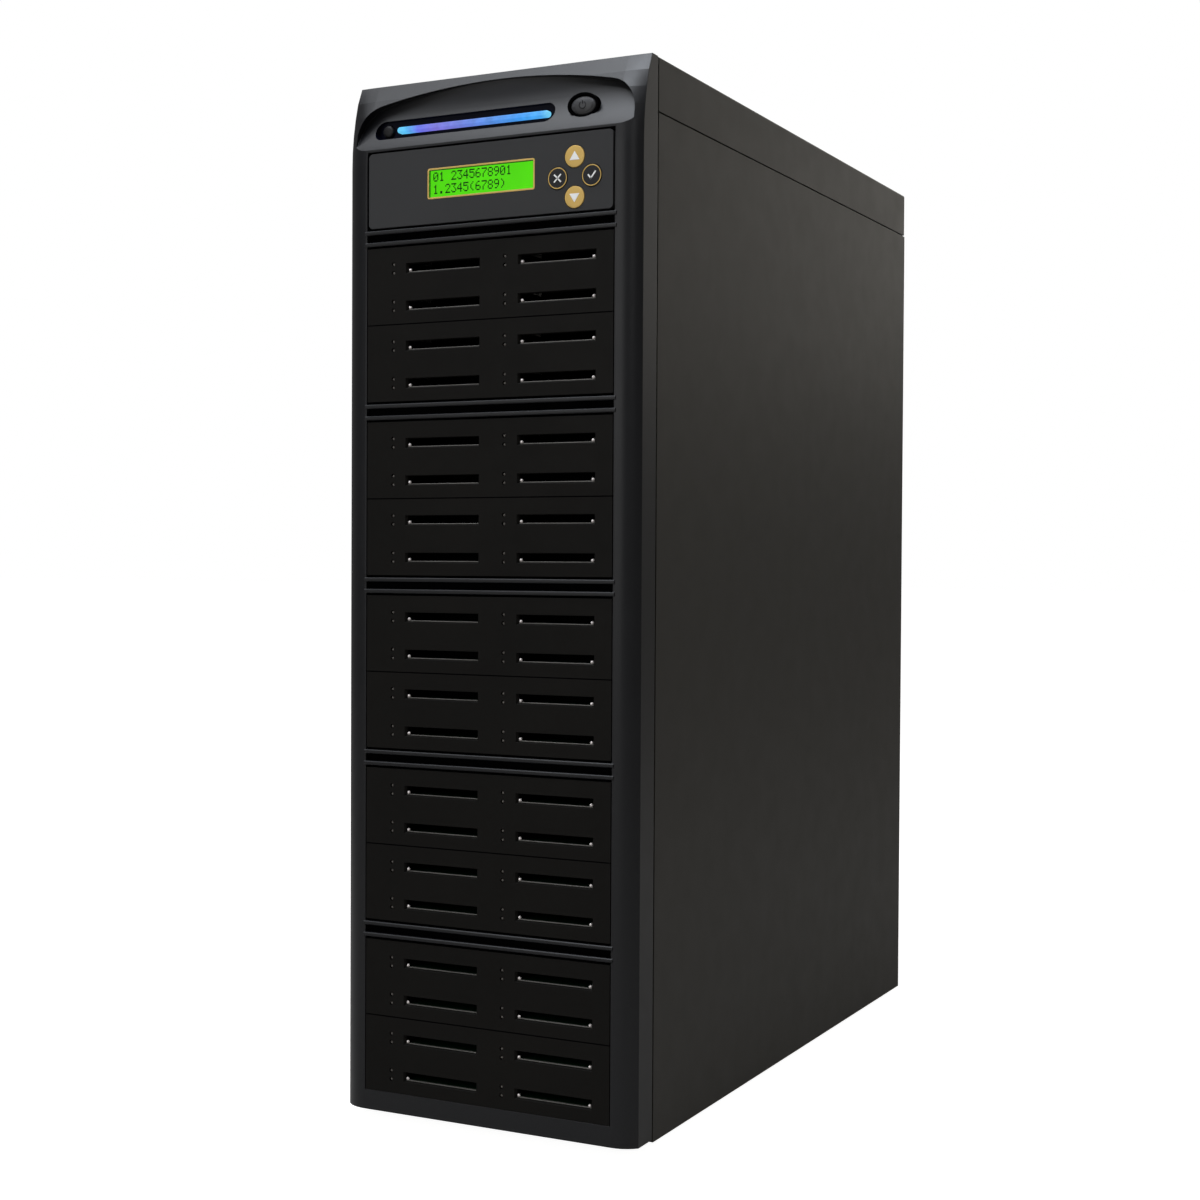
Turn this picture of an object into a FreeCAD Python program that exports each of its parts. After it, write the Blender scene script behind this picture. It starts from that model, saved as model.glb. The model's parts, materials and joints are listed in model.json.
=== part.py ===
import FreeCAD, Part

import math
import os

from FreeCAD import Vector

# Tower duplicator for memory cards: a steel case behind a moulded bezel with a control bay on top
# and pairs of card bays below it. X is to the right seen from the front, Y to the back, Z up.
# Sizes are in millimetres. The origin is at floor level, in the middle of the footprint.

# Bays
BAY_PITCH = 41.3
BAY_WIDTH = 148.0
BAY_PAIRS = 5
PLATE_GAP = 0.3
PLATE_THICKNESS = 3.0
PLATE_SIDE_GAP = 0.5

# Bezel
STILE_WIDTH = 13.5
STILE_FLAT = 1.0
STILE_SETBACK = 5.5
BEZEL_DEPTH = 21.5
BEZEL_LIFT = 1.6
BEZEL_WALL = 2.5
SILL_HEIGHT = 10.8
RAIL_HEIGHT = 10.6
RAIL_DEPTH = 9.0
RAIL_TENON = 1.0
RAIL_RECESS = 2.6
RIB_HEIGHT = 2.2
RIB_INSET = 1.1
RIB_CHAMFER = 0.5
RIB_PROUD = 0.6

# Header of the bezel: a swept-back brow over an arched cove
HEADER_HEIGHT = 38.5
BROW_HEIGHT = 4.3
BROW_RUN = 45.0
BROW_SETBACK = 14.5
BROW_STEPS = 5
STILE_FOLLOW = 0.58
STILE_LEAST_SETBACK = 0.3
ARCH_MARGIN = 4.5
ARCH_RISE = 11.5
ARCH_CORNER = 18.0
COVE_BACKING = 8.3
COVE_LIP = 0.8
HEADER_WALL = 2.5
CAVITY_SIDE = 6.0
CAVITY_LOW = 3.0
CAVITY_HIGH = 9.0

# Light bar and its trough, and the two buttons of the header
TROUGH_HEIGHT = 10.7
TROUGH_RISE = 12.8
TROUGH_WELL_GAP = 8.9
LIGHT_LEFT_GAP = 12.7
LIGHT_RIGHT_GAP = 4.4
LIGHT_HEIGHT = 3.2
LIGHT_PROUD = 3.0
LIGHT_BEVEL = 0.8
LIGHT_CLEARANCE = 0.2
POWER_INSET = 21.6
POWER_RISE = 13.9
POWER_HALF_WIDTH = 7.3
POWER_HALF_HEIGHT = 4.9
POWER_WELL_MARGIN = 1.2
POWER_WELL_WALL = 2.0
POWER_PROUD = 5.5
POWER_BEVEL = 1.4
POWER_TRAVEL = 1.5
RESET_INSET = 6.4
RESET_RADIUS = 3.2
RESET_BEVEL = 0.8
RESET_PROUD = 2.2
RESET_TRAVEL = 1.2
BUTTON_CLEARANCE = 0.3
BUTTON_FLANGE = 1.0
BUTTON_SEAT = 0.15
BUTTON_STOP = 0.3
SWITCH_SIZE = 6.0
SWITCH_HEIGHT = 2.0
BOARD_THICKNESS = 1.6
HEADER_BOARD_MARGIN = 2.0
HEADER_BOARD_GAP = 0.3

# Case
SHEET = 1.0
TOP_REVEAL = 0.3
TOP_FLANGE = 28.0
TOP_BEND = 1.6
CASE_DEPTH = 411.0
PANEL_GAP = 1.4
PANEL_FLANGE = 8.0
PANEL_RELIEF = 0.3
SEAM_GAP = 0.8
INNER_GAP = 0.2
FOOT_HEIGHT = 4.0
FOOT_RADIUS = 9.5
FOOT_TAPER = 1.2
FOOT_INSET = 26.0
PAN_FLANGE = 10.0
WALL_DEPTH = 110.0
WALL_FLANGE_GAP = 0.6
WALL_SLOT_LENGTH = 12.0
WALL_SLOT_HEIGHT = 4.0
WALL_SLOT_INSET = 20.0

# Card readers
CARD_WIDTH = 42.8
CARD_CLEARANCE = 0.4
SLOT_HEIGHT = 4.6
SLOT_COLUMN_MARGIN = 5.6
SLOT_COLUMN_OFFSET = 7.2
SLOT_ROW_MARGIN = 0.65
SLOT_ROW_OFFSET = -0.85
MOUTH_DEPTH = 1.4
MOUTH_FLARE_SIDE = 1.0
MOUTH_FLARE_LOW = 0.6
MOUTH_FLARE_HIGH = 0.2
LED_RADIUS = 1.0
LED_GAP = 8.8
LED_SPACING = 4.6
LED_BLOCK_WIDTH = 3.4
LED_BLOCK_DEPTH = 2.2
LED_BLOCK_MARGIN = 1.2
CARD_REACH = 28.0
HEADER_BLOCK_DEPTH = 8.0
GUIDE_WIDTH = 2.2
GUIDE_HEIGHT = 6.0
FRAME_INSET = 1.0
FRAME_DEPTH = 65.0
FRAME_LIFT = 1.0
FRAME_HEADROOM = 1.8
BOARD_OVERHANG = 5.2
BOARD_SIDE_GAP = 0.2

# Control bay
CONTROL_SIDE_GAP = 0.6
CONTROL_TOP_GAP = 1.2
CONTROL_CORNER = 2.4
WINDOW_WIDTH = 62.8
WINDOW_HEIGHT = 14.2
WINDOW_RISE = 0.6
WINDOW_REBATE = 0.9
WINDOW_CLEARANCE = 0.1
LENS_THICKNESS = 1.2
DISPLAY_RIM = 3.2
DISPLAY_RIM_HIGH = 6.0
DISPLAY_DEPTH = 8.0
DISPLAY_BOARD_EDGE = 7.6
DISPLAY_BOARD_HEADROOM = 5.3
DISPLAY_KEY_GAP = 3.3
GLASS_GAP = 0.1
KEY_GAP = 3.05
KEY_CLEARANCE = 0.25
KEY_SQUEEZE = 0.5
KEY_INSET = 22.4
KEY_DROP = 3.0
KEY_PROUD = 0.3
KEY_FLANGE = 0.8
KEY_FLANGE_THICKNESS = 1.2
KEY_SEAT = 0.15
KEY_TRAVEL = 0.8
KEY_STOP = 0.3
KEY_SWITCH_HEIGHT = 4.3
KEY_BOARD_MARGIN = 0.5
KEY_BOSS_RADIUS = 2.0
CONTROLLER_RISE = 6.0
CONTROLLER_SETBACK = 16.0

# Rear: fans, power supply and fasteners
FAN_SIZE = 80.0
FAN_DEPTH = 25.0
FAN_RIM = 1.4
FAN_CORNER = 4.25
FAN_HUB = 15.0
FAN_REAR_GAP = 2.4
FAN_TIP_GAP = 1.4
FAN_BLADES = 7
FAN_BLADE_CHORD = 17.0
FAN_BLADE_LEAN = 0.8
FAN_BLADE_BOW = 2.0
FAN_BLADE_THICKNESS = 1.2
FAN_HOLDER = 3.0
FAN_STRUT = 3.0
FAN_SHAFT = 1.5
FAN_SHAFT_CLEARANCE = 0.05
FAN_RUN_GAP = 0.6
FAN_OPENING_LIP = 0.6
FAN_TOP_DROP = 142.5
FAN_SPACING = 190.0
GUARD_RING_SHARES = (0.44, 0.78)
GUARD_WIRE = 1.8
SUPPLY_SIDE_GAP = 3.8
SUPPLY_FAN_MARGIN = 3.0
SUPPLY_DEPTH = 140.0
SUPPLY_LIP = 3.0
SUPPLY_FAN_INSET = 7.0
SUPPLY_VENTS = 8
SUPPLY_VENT_WIDTH = 5.0
SUPPLY_VENT_HEIGHT = 50.0
INLET_INSET = 27.0
INLET_RISE = 27.0
INLET_WIDTH = 27.0
INLET_HEIGHT = 20.0
INLET_DEPTH = 22.0
INLET_FLANGE = 2.0
INLET_FLANGE_THICKNESS = 2.0
INLET_WALL = 1.8
INLET_RECESS = 15.0
INLET_CHAMFER = 4.0
PIN_WIDTH = 2.0
PIN_HEIGHT = 4.0
PIN_SETBACK = 4.6
PIN_SPREAD = 7.0
PIN_STAGGER = 2.0
ROCKER_WIDTH = 12.0
ROCKER_HALF_HEIGHT = 7.0
ROCKER_GAP = 0.8
ROCKER_PIVOT_RADIUS = 1.2
ROCKER_PIVOT_CLEARANCE = 0.05
ROCKER_PIVOT_REACH = 1.0
ROCKER_PROUD = 2.6
ROCKER_DIP = 1.4
ROCKER_BODY = 4.0
ROCKER_TILT = 7.0
ROCKER_PIVOT_SETBACK = 1.0
SCREW_RADIUS = 1.5
SCREW_HEAD_RADIUS = 3.2
SCREW_HEAD_HEIGHT = 2.0
SCREW_CLEARANCE = 0.25
SCREW_BITE = 0.6
THUMB_FLANGE = 14.0
THUMB_RADIUS = 3.6
THUMB_LENGTH = 8.0
THUMB_SHANK = 6.0
THUMB_LOW_Z = 110.0
THUMB_HIGH_Z = 440.0
VENT_COUNT = 6
VENT_WIDTH = 90.0
VENT_HEIGHT = 4.0
VENT_PITCH = 9.0
VENT_TOP_DROP = 30.0

# Wiring looms behind the readers
LOOM_THICKNESS = 1.6
LOOM_WIDTH = 26.0
LOOM_X = 34.0
POWER_LOOM_RISE = 40.0

# Sides of the round forms, from small to large ones
HOLE_SIDES = 5
SCREW_SIDES = 6
GUARD_SIDES = 12
FOOT_SIDES = 10
KEY_SIDES = 16
FAN_SIDES = 16
OVAL_SIDES = 20

# Levels and places worked out from the sizes above
OPENING_HALF = BAY_WIDTH / 2 + PLATE_SIDE_GAP
CASE_HALF = OPENING_HALF + STILE_WIDTH
PAIR_PITCH = 2 * BAY_PITCH + RAIL_HEIGHT
CASE_BOTTOM = FOOT_HEIGHT
BEZEL_BOTTOM = CASE_BOTTOM + BEZEL_LIFT
OPENING_BOTTOM = BEZEL_BOTTOM + SILL_HEIGHT
CONTROL_BOTTOM = OPENING_BOTTOM + BAY_PAIRS * PAIR_PITCH
HEADER_BOTTOM = CONTROL_BOTTOM + BAY_PITCH
BEZEL_TOP = HEADER_BOTTOM + HEADER_HEIGHT
CASE_TOP = BEZEL_TOP + TOP_REVEAL
SEAM = CASE_TOP - TOP_FLANGE

TOTAL_DEPTH = RIB_PROUD + BEZEL_DEPTH + CASE_DEPTH + THUMB_LENGTH
FACE = -TOTAL_DEPTH / 2 + RIB_PROUD
BEZEL_BACK = FACE + BEZEL_DEPTH
FRAME_FRONT = FACE + PLATE_THICKNESS
CASE_BACK = BEZEL_BACK + CASE_DEPTH
REAR_OUTSIDE = CASE_BACK - SHEET
REAR_INSIDE = REAR_OUTSIDE - SHEET
INNER_HALF = CASE_HALF - PANEL_FLANGE - INNER_GAP
COVE_DEPTH = BEZEL_DEPTH - COVE_BACKING

SLOT_WIDTH = CARD_WIDTH + 2 * CARD_CLEARANCE
SLOT_COLUMN_PITCH = BAY_WIDTH / 2 - SLOT_COLUMN_MARGIN
SLOT_ROW_PITCH = BAY_PITCH / 2 - SLOT_ROW_MARGIN
LED_OFFSET = SLOT_WIDTH / 2 + LED_GAP
BAY_BOTTOMS = [
    OPENING_BOTTOM + pair * PAIR_PITCH + low * BAY_PITCH
    for pair in range(BAY_PAIRS)
    for low in range(2)
]
SLOT_COLUMNS = [SLOT_COLUMN_OFFSET + side * SLOT_COLUMN_PITCH / 2 for side in (-1, 1)]
SLOT_ROWS = [BAY_PITCH / 2 + SLOT_ROW_OFFSET + side * SLOT_ROW_PITCH / 2 for side in (-1, 1)]
FRAME_WIDTH = BAY_WIDTH - 2 * FRAME_INSET
FRAME_HEIGHT = BAY_PITCH - FRAME_LIFT - FRAME_HEADROOM
BOARD_HALF = FRAME_WIDTH / 2 - SHEET - BOARD_SIDE_GAP
BOARD_FRONT = FRAME_FRONT + LED_BLOCK_DEPTH
BOARD_BACK = FRAME_FRONT + FRAME_DEPTH + BOARD_OVERHANG

POWER_X = OPENING_HALF - POWER_INSET
POWER_Z = HEADER_BOTTOM + POWER_RISE
TROUGH_X = (-OPENING_HALF, POWER_X - POWER_HALF_WIDTH - POWER_WELL_MARGIN - TROUGH_WELL_GAP)
TROUGH_Z = HEADER_BOTTOM + TROUGH_RISE
LIGHT_X = (TROUGH_X[0] + LIGHT_LEFT_GAP, TROUGH_X[1] - LIGHT_RIGHT_GAP)
RESET_X = TROUGH_X[0] + RESET_INSET
HEADER_BOARD_FRONT = BEZEL_BACK - HEADER_BOARD_GAP - BOARD_THICKNESS
BUTTON_FLANGE_BACK = HEADER_BOARD_FRONT - SWITCH_HEIGHT - BUTTON_STOP - POWER_TRAVEL
BUTTON_FLANGE_FRONT = BUTTON_FLANGE_BACK - BUTTON_FLANGE
CAVITY_FLOOR = BUTTON_FLANGE_FRONT - BUTTON_SEAT
TROUGH_FLOOR = CAVITY_FLOOR - HEADER_WALL

CONTROL_MIDDLE = CONTROL_BOTTOM + BAY_PITCH / 2
KEY_X = BAY_WIDTH / 2 - KEY_INSET
KEY_Z = CONTROL_MIDDLE - KEY_DROP
KEY_LIFT = BAY_PITCH / 4
KEY_SPREAD = KEY_LIFT - KEY_SQUEEZE
KEY_RADIUS = (math.hypot(KEY_LIFT, KEY_SPREAD) - KEY_GAP) / 2
KEY_SWITCH_FRONT = FRAME_FRONT + KEY_SEAT + KEY_FLANGE_THICKNESS + KEY_TRAVEL + KEY_STOP
KEY_BOARD_FRONT = KEY_SWITCH_FRONT + KEY_SWITCH_HEIGHT
KEY_BOARD_EDGE = SWITCH_SIZE / 2 + KEY_BOARD_MARGIN
KEY_PLACES = {
    "key_up": (KEY_X, KEY_Z + KEY_LIFT),
    "key_down": (KEY_X, KEY_Z - KEY_LIFT),
    "key_escape": (KEY_X - KEY_SPREAD, KEY_Z),
    "key_confirm": (KEY_X + KEY_SPREAD, KEY_Z),
}
DISPLAY_WIDTH = WINDOW_WIDTH + 2 * (WINDOW_REBATE + DISPLAY_RIM)
DISPLAY_HEIGHT = WINDOW_HEIGHT + 2 * DISPLAY_RIM_HIGH
DISPLAY_BOARD_WIDTH = WINDOW_WIDTH + 2 * DISPLAY_BOARD_EDGE
DISPLAY_BOARD_HEIGHT = BAY_PITCH - DISPLAY_BOARD_HEADROOM
WINDOW_X = KEY_X - KEY_SPREAD - KEY_BOARD_EDGE - DISPLAY_KEY_GAP - DISPLAY_BOARD_WIDTH / 2
WINDOW_Z = CONTROL_MIDDLE + WINDOW_RISE

FAN_BORE = FAN_SIZE / 2 - FAN_RIM
FAN_OPENING = FAN_BORE - FAN_OPENING_LIP
FAN_HUB_LENGTH = FAN_DEPTH - FAN_HOLDER - FAN_RUN_GAP - FAN_REAR_GAP
SUPPLY_WIDTH = 2 * (INNER_HALF - SHEET - SUPPLY_SIDE_GAP)
SUPPLY_HEIGHT = FAN_SIZE + 2 * SUPPLY_FAN_MARGIN
SUPPLY_BOTTOM = CASE_BOTTOM + SHEET
SUPPLY_FRONT = REAR_INSIDE - SUPPLY_DEPTH
SUPPLY_FAN_X = SUPPLY_FAN_INSET + FAN_SIZE / 2 - SUPPLY_WIDTH / 2
SUPPLY_FAN_Z = SUPPLY_BOTTOM + SUPPLY_HEIGHT / 2
SUPPLY_FAN_BACK = REAR_INSIDE - SHEET
UPPER_FAN_Z = CASE_TOP - FAN_TOP_DROP
CASE_FANS = {"upper": (0.0, UPPER_FAN_Z), "lower": (0.0, UPPER_FAN_Z - FAN_SPACING)}
ALL_FANS = [(x, z, REAR_INSIDE) for x, z in CASE_FANS.values()]
ALL_FANS.append((SUPPLY_FAN_X, SUPPLY_FAN_Z, SUPPLY_FAN_BACK))
INLET_X = SUPPLY_WIDTH / 2 - INLET_INSET
INLET_Z = SUPPLY_BOTTOM + INLET_RISE
ROCKER_CAVITY_HALF = ROCKER_HALF_HEIGHT + ROCKER_GAP
ROCKER_Z = INLET_Z + INLET_HEIGHT / 2 + INLET_WALL + ROCKER_CAVITY_HALF
ROCKER_Y = REAR_INSIDE + INLET_FLANGE_THICKNESS - ROCKER_PIVOT_SETBACK
INLET_TOP = ROCKER_Z + ROCKER_CAVITY_HALF + INLET_WALL
INLET_BOTTOM = INLET_Z - INLET_HEIGHT / 2
THUMB_X = CASE_HALF - THUMB_FLANGE / 2


def span(middle, size):
    return (middle - size / 2, middle + size / 2)


def mirrored(side, inner, outer):
    """A span between two distances from the middle, on the left (-1) or the right (1)."""
    return sorted((side * inner, side * outer))


def block(x, y, z):
    """A box from three (low, high) spans."""
    return Part.makeBox(x[1] - x[0], y[1] - y[0], z[1] - z[0], Vector(x[0], y[0], z[0]))


def outline(points):
    """A closed wire of straight edges, with an arc wherever an item is (through point, end point)."""
    edges = []
    here = points[0]
    for item in points[1:] + [points[0]]:
        if isinstance(item, tuple):
            edges.append(Part.Arc(here, item[0], item[1]).toShape())
            here = item[1]
        elif (item - here).Length > 1e-6:
            edges.append(Part.LineSegment(here, item).toShape())
            here = item
    return Part.Wire(edges)


def prism(points, along):
    return Part.Face(outline(points)).extrude(along)


def taper(front, back):
    """A solid with flat sides between two similar outlines."""
    faces = [Part.Face(outline(front)), Part.Face(outline(back))]
    for n in range(len(front)):
        faces.append(Part.Face(outline([front[n - 1], front[n], back[n], back[n - 1]])))
    return Part.Solid(Part.Shell(faces))


def rod(radius, x, z, y):
    """A cylinder along Y."""
    return Part.makeCylinder(radius, y[1] - y[0], Vector(x, y[0], z), Vector(0, 1, 0))


def oval(sides, half_width, half_height, x, z, y):
    """The corners of a many-sided oval that holds the true one."""
    reach = 1 / math.cos(math.pi / sides)
    turns = [(2 * n + 1) * math.pi / sides for n in range(sides)]
    return [
        Vector(x + half_width * reach * math.cos(turn), y, z + half_height * reach * math.sin(turn))
        for turn in turns
    ]


def oval_rod(sides, half_width, half_height, x, z, y):
    return prism(oval(sides, half_width, half_height, x, z, y[0]), Vector(0, y[1] - y[0], 0))


def facets(sides, radius, x, z, y):
    """A many-sided rod along Y."""
    return oval_rod(sides, radius, radius, x, z, y)


def rounded(x, z, radius, y):
    """The corners of a rectangle with round corners, seen along Y."""
    corners = []
    for corner in oval(OVAL_SIDES, radius, radius, 0, 0, y):
        across = x[1] - radius if corner.x > 0 else x[0] + radius
        up = z[1] - radius if corner.z > 0 else z[0] + radius
        corners.append(Vector(across + corner.x, y, up + corner.z))
    return corners


def pill(x, height, z, y):
    """The corners of a round-ended bar, long in X, seen along Y."""
    return rounded(x, span(z, height), height / 2, y)


def fuse(shapes):
    """One clean solid from overlapping or touching ones."""
    whole = shapes[0].multiFuse(shapes[1:]) if len(shapes) > 1 else shapes[0]
    return whole.removeSplitter()


def leaning_arc(upright, leaning):
    """The end of an arc in the YZ plane that is vertical at its upright end: (through point, leaning)."""
    lean = leaning.y - upright.y
    run = leaning.z - upright.z
    radius = (run * run + lean * lean) / (2 * abs(lean))
    turn = math.asin(min(1.0, abs(run) / radius)) / 2
    through = Vector(
        upright.x,
        upright.y + math.copysign(radius * (1 - math.cos(turn)), lean),
        upright.z + math.copysign(radius * math.sin(turn), run),
    )
    return through, leaning


def bezel_section(z, setback):
    """The bezel's plan at one level: a straight front whose rounded stiles fall back to the sides."""
    flat = OPENING_HALF + STILE_FLAT
    front = FACE + setback
    fall = max(STILE_LEAST_SETBACK, STILE_SETBACK - (1 - STILE_FOLLOW) * setback)
    run = CASE_HALF - flat
    radius = (run * run + fall * fall) / (2 * fall)
    turn = math.asin(run / radius) / 2
    through = (flat + radius * math.sin(turn), front + radius * (1 - math.cos(turn)))
    return outline([
        Vector(-flat, front, z),
        Vector(flat, front, z),
        (Vector(*through, z), Vector(CASE_HALF, front + fall, z)),
        Vector(CASE_HALF, BEZEL_BACK, z),
        Vector(-CASE_HALF, BEZEL_BACK, z),
        Vector(-CASE_HALF, front + fall, z),
        (Vector(-through[0], through[1], z), Vector(-flat, front, z)),
    ])


def bezel_body():
    """The bezel's outer form: upright stiles under a brow that sweeps back to the top."""
    brow_start = BEZEL_TOP - BROW_RUN
    sections = [bezel_section(BEZEL_BOTTOM, 0)]
    for n in range(BROW_STEPS + 1):
        share = n / BROW_STEPS
        sections.append(bezel_section(brow_start + share * BROW_RUN, BROW_SETBACK * share * share))
    return Part.makeLoft(sections, True, True)


def arch_outline(half, apex, y):
    """A wide arch on upright sides, with a round corner at each shoulder."""
    wide = (half * half + ARCH_RISE * ARCH_RISE) / (2 * ARCH_RISE)
    corner_x = half - ARCH_CORNER
    turn = math.asin(corner_x / (wide - ARCH_CORNER))
    corner_z = apex - wide + (wide - ARCH_CORNER) * math.cos(turn)
    middle = (turn + math.pi / 2) / 2
    through = (corner_x + ARCH_CORNER * math.sin(middle), corner_z + ARCH_CORNER * math.cos(middle))
    meet = (wide * math.sin(turn), apex - wide * (1 - math.cos(turn)))
    return [
        Vector(-half, y, HEADER_BOTTOM),
        Vector(-half, y, corner_z),
        (Vector(-through[0], y, through[1]), Vector(-meet[0], y, meet[1])),
        (Vector(0, y, apex), Vector(meet[0], y, meet[1])),
        (Vector(through[0], y, through[1]), Vector(half, y, corner_z)),
        Vector(half, y, HEADER_BOTTOM),
    ]


def bezel_cove():
    """What the arched cove takes out of the header."""
    half = CASE_HALF - ARCH_MARGIN
    apex = BEZEL_TOP - BROW_HEIGHT
    front = FACE - RIB_PROUD
    arch = prism(arch_outline(half, apex, front), Vector(0, BEZEL_DEPTH, 0))
    upright = Vector(-CASE_HALF, FACE + COVE_DEPTH, apex)
    leaning = Vector(-CASE_HALF, FACE, HEADER_BOTTOM + COVE_LIP)
    cove = prism(
        [
            upright,
            leaning_arc(upright, leaning),
            Vector(-CASE_HALF, front, HEADER_BOTTOM + COVE_LIP),
            Vector(-CASE_HALF, front, BEZEL_TOP),
            Vector(-CASE_HALF, FACE + COVE_DEPTH, BEZEL_TOP),
        ],
        Vector(2 * CASE_HALF, 0, 0),
    )
    return arch.common(cove)


def rail(bottom):
    """A rail between two pairs of bays: two slim ribs with a groove between them."""
    start = -OPENING_HALF - RAIL_TENON
    crest = FACE - RIB_PROUD
    root = FACE + RAIL_RECESS
    back = FACE + RAIL_DEPTH
    top = bottom + RAIL_HEIGHT
    rib = [
        (root, 0),
        (crest + RIB_CHAMFER, 0),
        (crest, RIB_CHAMFER),
        (crest, RIB_HEIGHT - RIB_CHAMFER),
        (crest + RIB_CHAMFER, RIB_HEIGHT),
        (root, RIB_HEIGHT),
    ]
    points = [(back, bottom), (root, bottom)]
    for low in (bottom + RIB_INSET, top - RIB_INSET - RIB_HEIGHT):
        points += [(y, low + z) for y, z in rib]
    points += [(root, top), (back, top)]
    length = Vector(2 * (OPENING_HALF + RAIL_TENON), 0, 0)
    return prism([Vector(start, y, z) for y, z in points], length)


def front_bezel():
    through = (FACE - RIB_PROUD, BEZEL_BACK)
    depth = Vector(0, BEZEL_DEPTH + RIB_PROUD, 0)
    body = bezel_body().cut(bezel_cove())
    cuts = [block((-OPENING_HALF, OPENING_HALF), through, (OPENING_BOTTOM, HEADER_BOTTOM))]
    hollow_front = FACE + STILE_SETBACK + BEZEL_WALL
    for side in (-1, 1):
        x = mirrored(side, OPENING_HALF + BEZEL_WALL, CASE_HALF - BEZEL_WALL)
        cuts.append(block(x, (hollow_front, BEZEL_BACK), (BEZEL_BOTTOM + BEZEL_WALL, HEADER_BOTTOM)))
    sill = (BEZEL_BOTTOM + BEZEL_WALL, OPENING_BOTTOM - BEZEL_WALL)
    cuts.append(block((-OPENING_HALF, OPENING_HALF), (hollow_front, BEZEL_BACK), sill))
    cavity = (CAVITY_FLOOR, BEZEL_BACK)
    cavity_half = CASE_HALF - CAVITY_SIDE
    cuts.append(block((-cavity_half, cavity_half), cavity, header_cavity_height()))
    trough_depth = Vector(0, TROUGH_FLOOR - through[0], 0)
    cuts.append(prism(pill(TROUGH_X, TROUGH_HEIGHT, TROUGH_Z, through[0]), trough_depth))
    light_slot = (LIGHT_X[0] - LIGHT_CLEARANCE, LIGHT_X[1] + LIGHT_CLEARANCE)
    slot_height = LIGHT_HEIGHT + 2 * LIGHT_CLEARANCE
    cuts.append(prism(pill(light_slot, slot_height, TROUGH_Z, through[0]), depth))
    well = (POWER_HALF_WIDTH + POWER_WELL_MARGIN, POWER_HALF_HEIGHT + POWER_WELL_MARGIN)
    well_y = (through[0], CAVITY_FLOOR - POWER_WELL_WALL)
    cuts.append(oval_rod(OVAL_SIDES, *well, POWER_X, POWER_Z, well_y))
    hole = (POWER_HALF_WIDTH + BUTTON_CLEARANCE, POWER_HALF_HEIGHT + BUTTON_CLEARANCE)
    cuts.append(oval_rod(OVAL_SIDES, *hole, POWER_X, POWER_Z, through))
    cuts.append(facets(KEY_SIDES, RESET_RADIUS + BUTTON_CLEARANCE, RESET_X, TROUGH_Z, through))
    body = body.cut(cuts)
    rails = [rail(CONTROL_BOTTOM - RAIL_HEIGHT - n * PAIR_PITCH) for n in range(BAY_PAIRS)]
    return fuse([body] + rails)


def header_cavity_height():
    return (HEADER_BOTTOM + CAVITY_LOW, BEZEL_TOP - CAVITY_HIGH)


def light_bar():
    """The light guide, from its board through the trough's floor, with a bevelled front."""
    front = TROUGH_FLOOR - LIGHT_PROUD
    shoulder = front + LIGHT_BEVEL
    slim_x = (LIGHT_X[0] + LIGHT_BEVEL, LIGHT_X[1] - LIGHT_BEVEL)
    slim = pill(slim_x, LIGHT_HEIGHT - 2 * LIGHT_BEVEL, TROUGH_Z, front)
    full = pill(LIGHT_X, LIGHT_HEIGHT, TROUGH_Z, shoulder)
    return fuse([taper(slim, full), prism(full, Vector(0, HEADER_BOARD_FRONT - shoulder, 0))])


def capped_button(sides, half_width, half_height, bevel, x, z, front):
    """A bevelled cap, with the flange that keeps it in the bezel."""
    shoulder = front + bevel
    share = 1 - bevel / half_height
    small = oval(sides, share * half_width, share * half_height, x, z, front)
    full = oval(sides, half_width, half_height, x, z, shoulder)
    flange_y = (BUTTON_FLANGE_FRONT, BUTTON_FLANGE_BACK)
    flange = oval_rod(sides, half_width + BUTTON_FLANGE, half_height + BUTTON_FLANGE, x, z, flange_y)
    return fuse([taper(small, full), prism(full, Vector(0, BUTTON_FLANGE_FRONT - shoulder, 0)), flange])


def power_button():
    size = (POWER_HALF_WIDTH, POWER_HALF_HEIGHT, POWER_BEVEL)
    return capped_button(OVAL_SIDES, *size, POWER_X, POWER_Z, FACE + POWER_PROUD)


def reset_button():
    size = (RESET_RADIUS, RESET_RADIUS, RESET_BEVEL)
    return capped_button(KEY_SIDES, *size, RESET_X, TROUGH_Z, TROUGH_FLOOR - RESET_PROUD)


def header_board():
    """The circuit board behind the header, for the light and both buttons."""
    half = CASE_HALF - CAVITY_SIDE - HEADER_BOARD_MARGIN
    low, high = header_cavity_height()
    z = (low + HEADER_BOARD_MARGIN, high - HEADER_BOARD_MARGIN)
    return block((-half, half), (HEADER_BOARD_FRONT, HEADER_BOARD_FRONT + BOARD_THICKNESS), z)


def header_switches():
    """The two push switches that the header's buttons press."""
    places = [(RESET_X, TROUGH_Z, RESET_TRAVEL), (POWER_X, POWER_Z, POWER_TRAVEL)]
    return [
        block(
            span(x, SWITCH_SIZE),
            (BUTTON_FLANGE_BACK + travel + BUTTON_STOP, HEADER_BOARD_FRONT),
            span(z, SWITCH_SIZE),
        )
        for x, z, travel in places
    ]


def card_mouth(x, z):
    """A card slot through a faceplate, with a lead-in that is widest at the lower lip."""
    half = SLOT_WIDTH / 2
    low = z - SLOT_HEIGHT / 2
    high = z + SLOT_HEIGHT / 2
    rings = []
    for y, side, down, up in (
        (FACE, MOUTH_FLARE_SIDE, MOUTH_FLARE_LOW, MOUTH_FLARE_HIGH),
        (FACE + MOUTH_DEPTH, 0, 0, 0),
    ):
        rings.append([
            Vector(x - half - side, y, low - down),
            Vector(x + half + side, y, low - down),
            Vector(x + half + side, y, high + up),
            Vector(x - half - side, y, high + up),
        ])
    straight = block((x - half, x + half), (FACE + MOUTH_DEPTH, FRAME_FRONT), (low, high))
    return [taper(*rings), straight]


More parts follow.
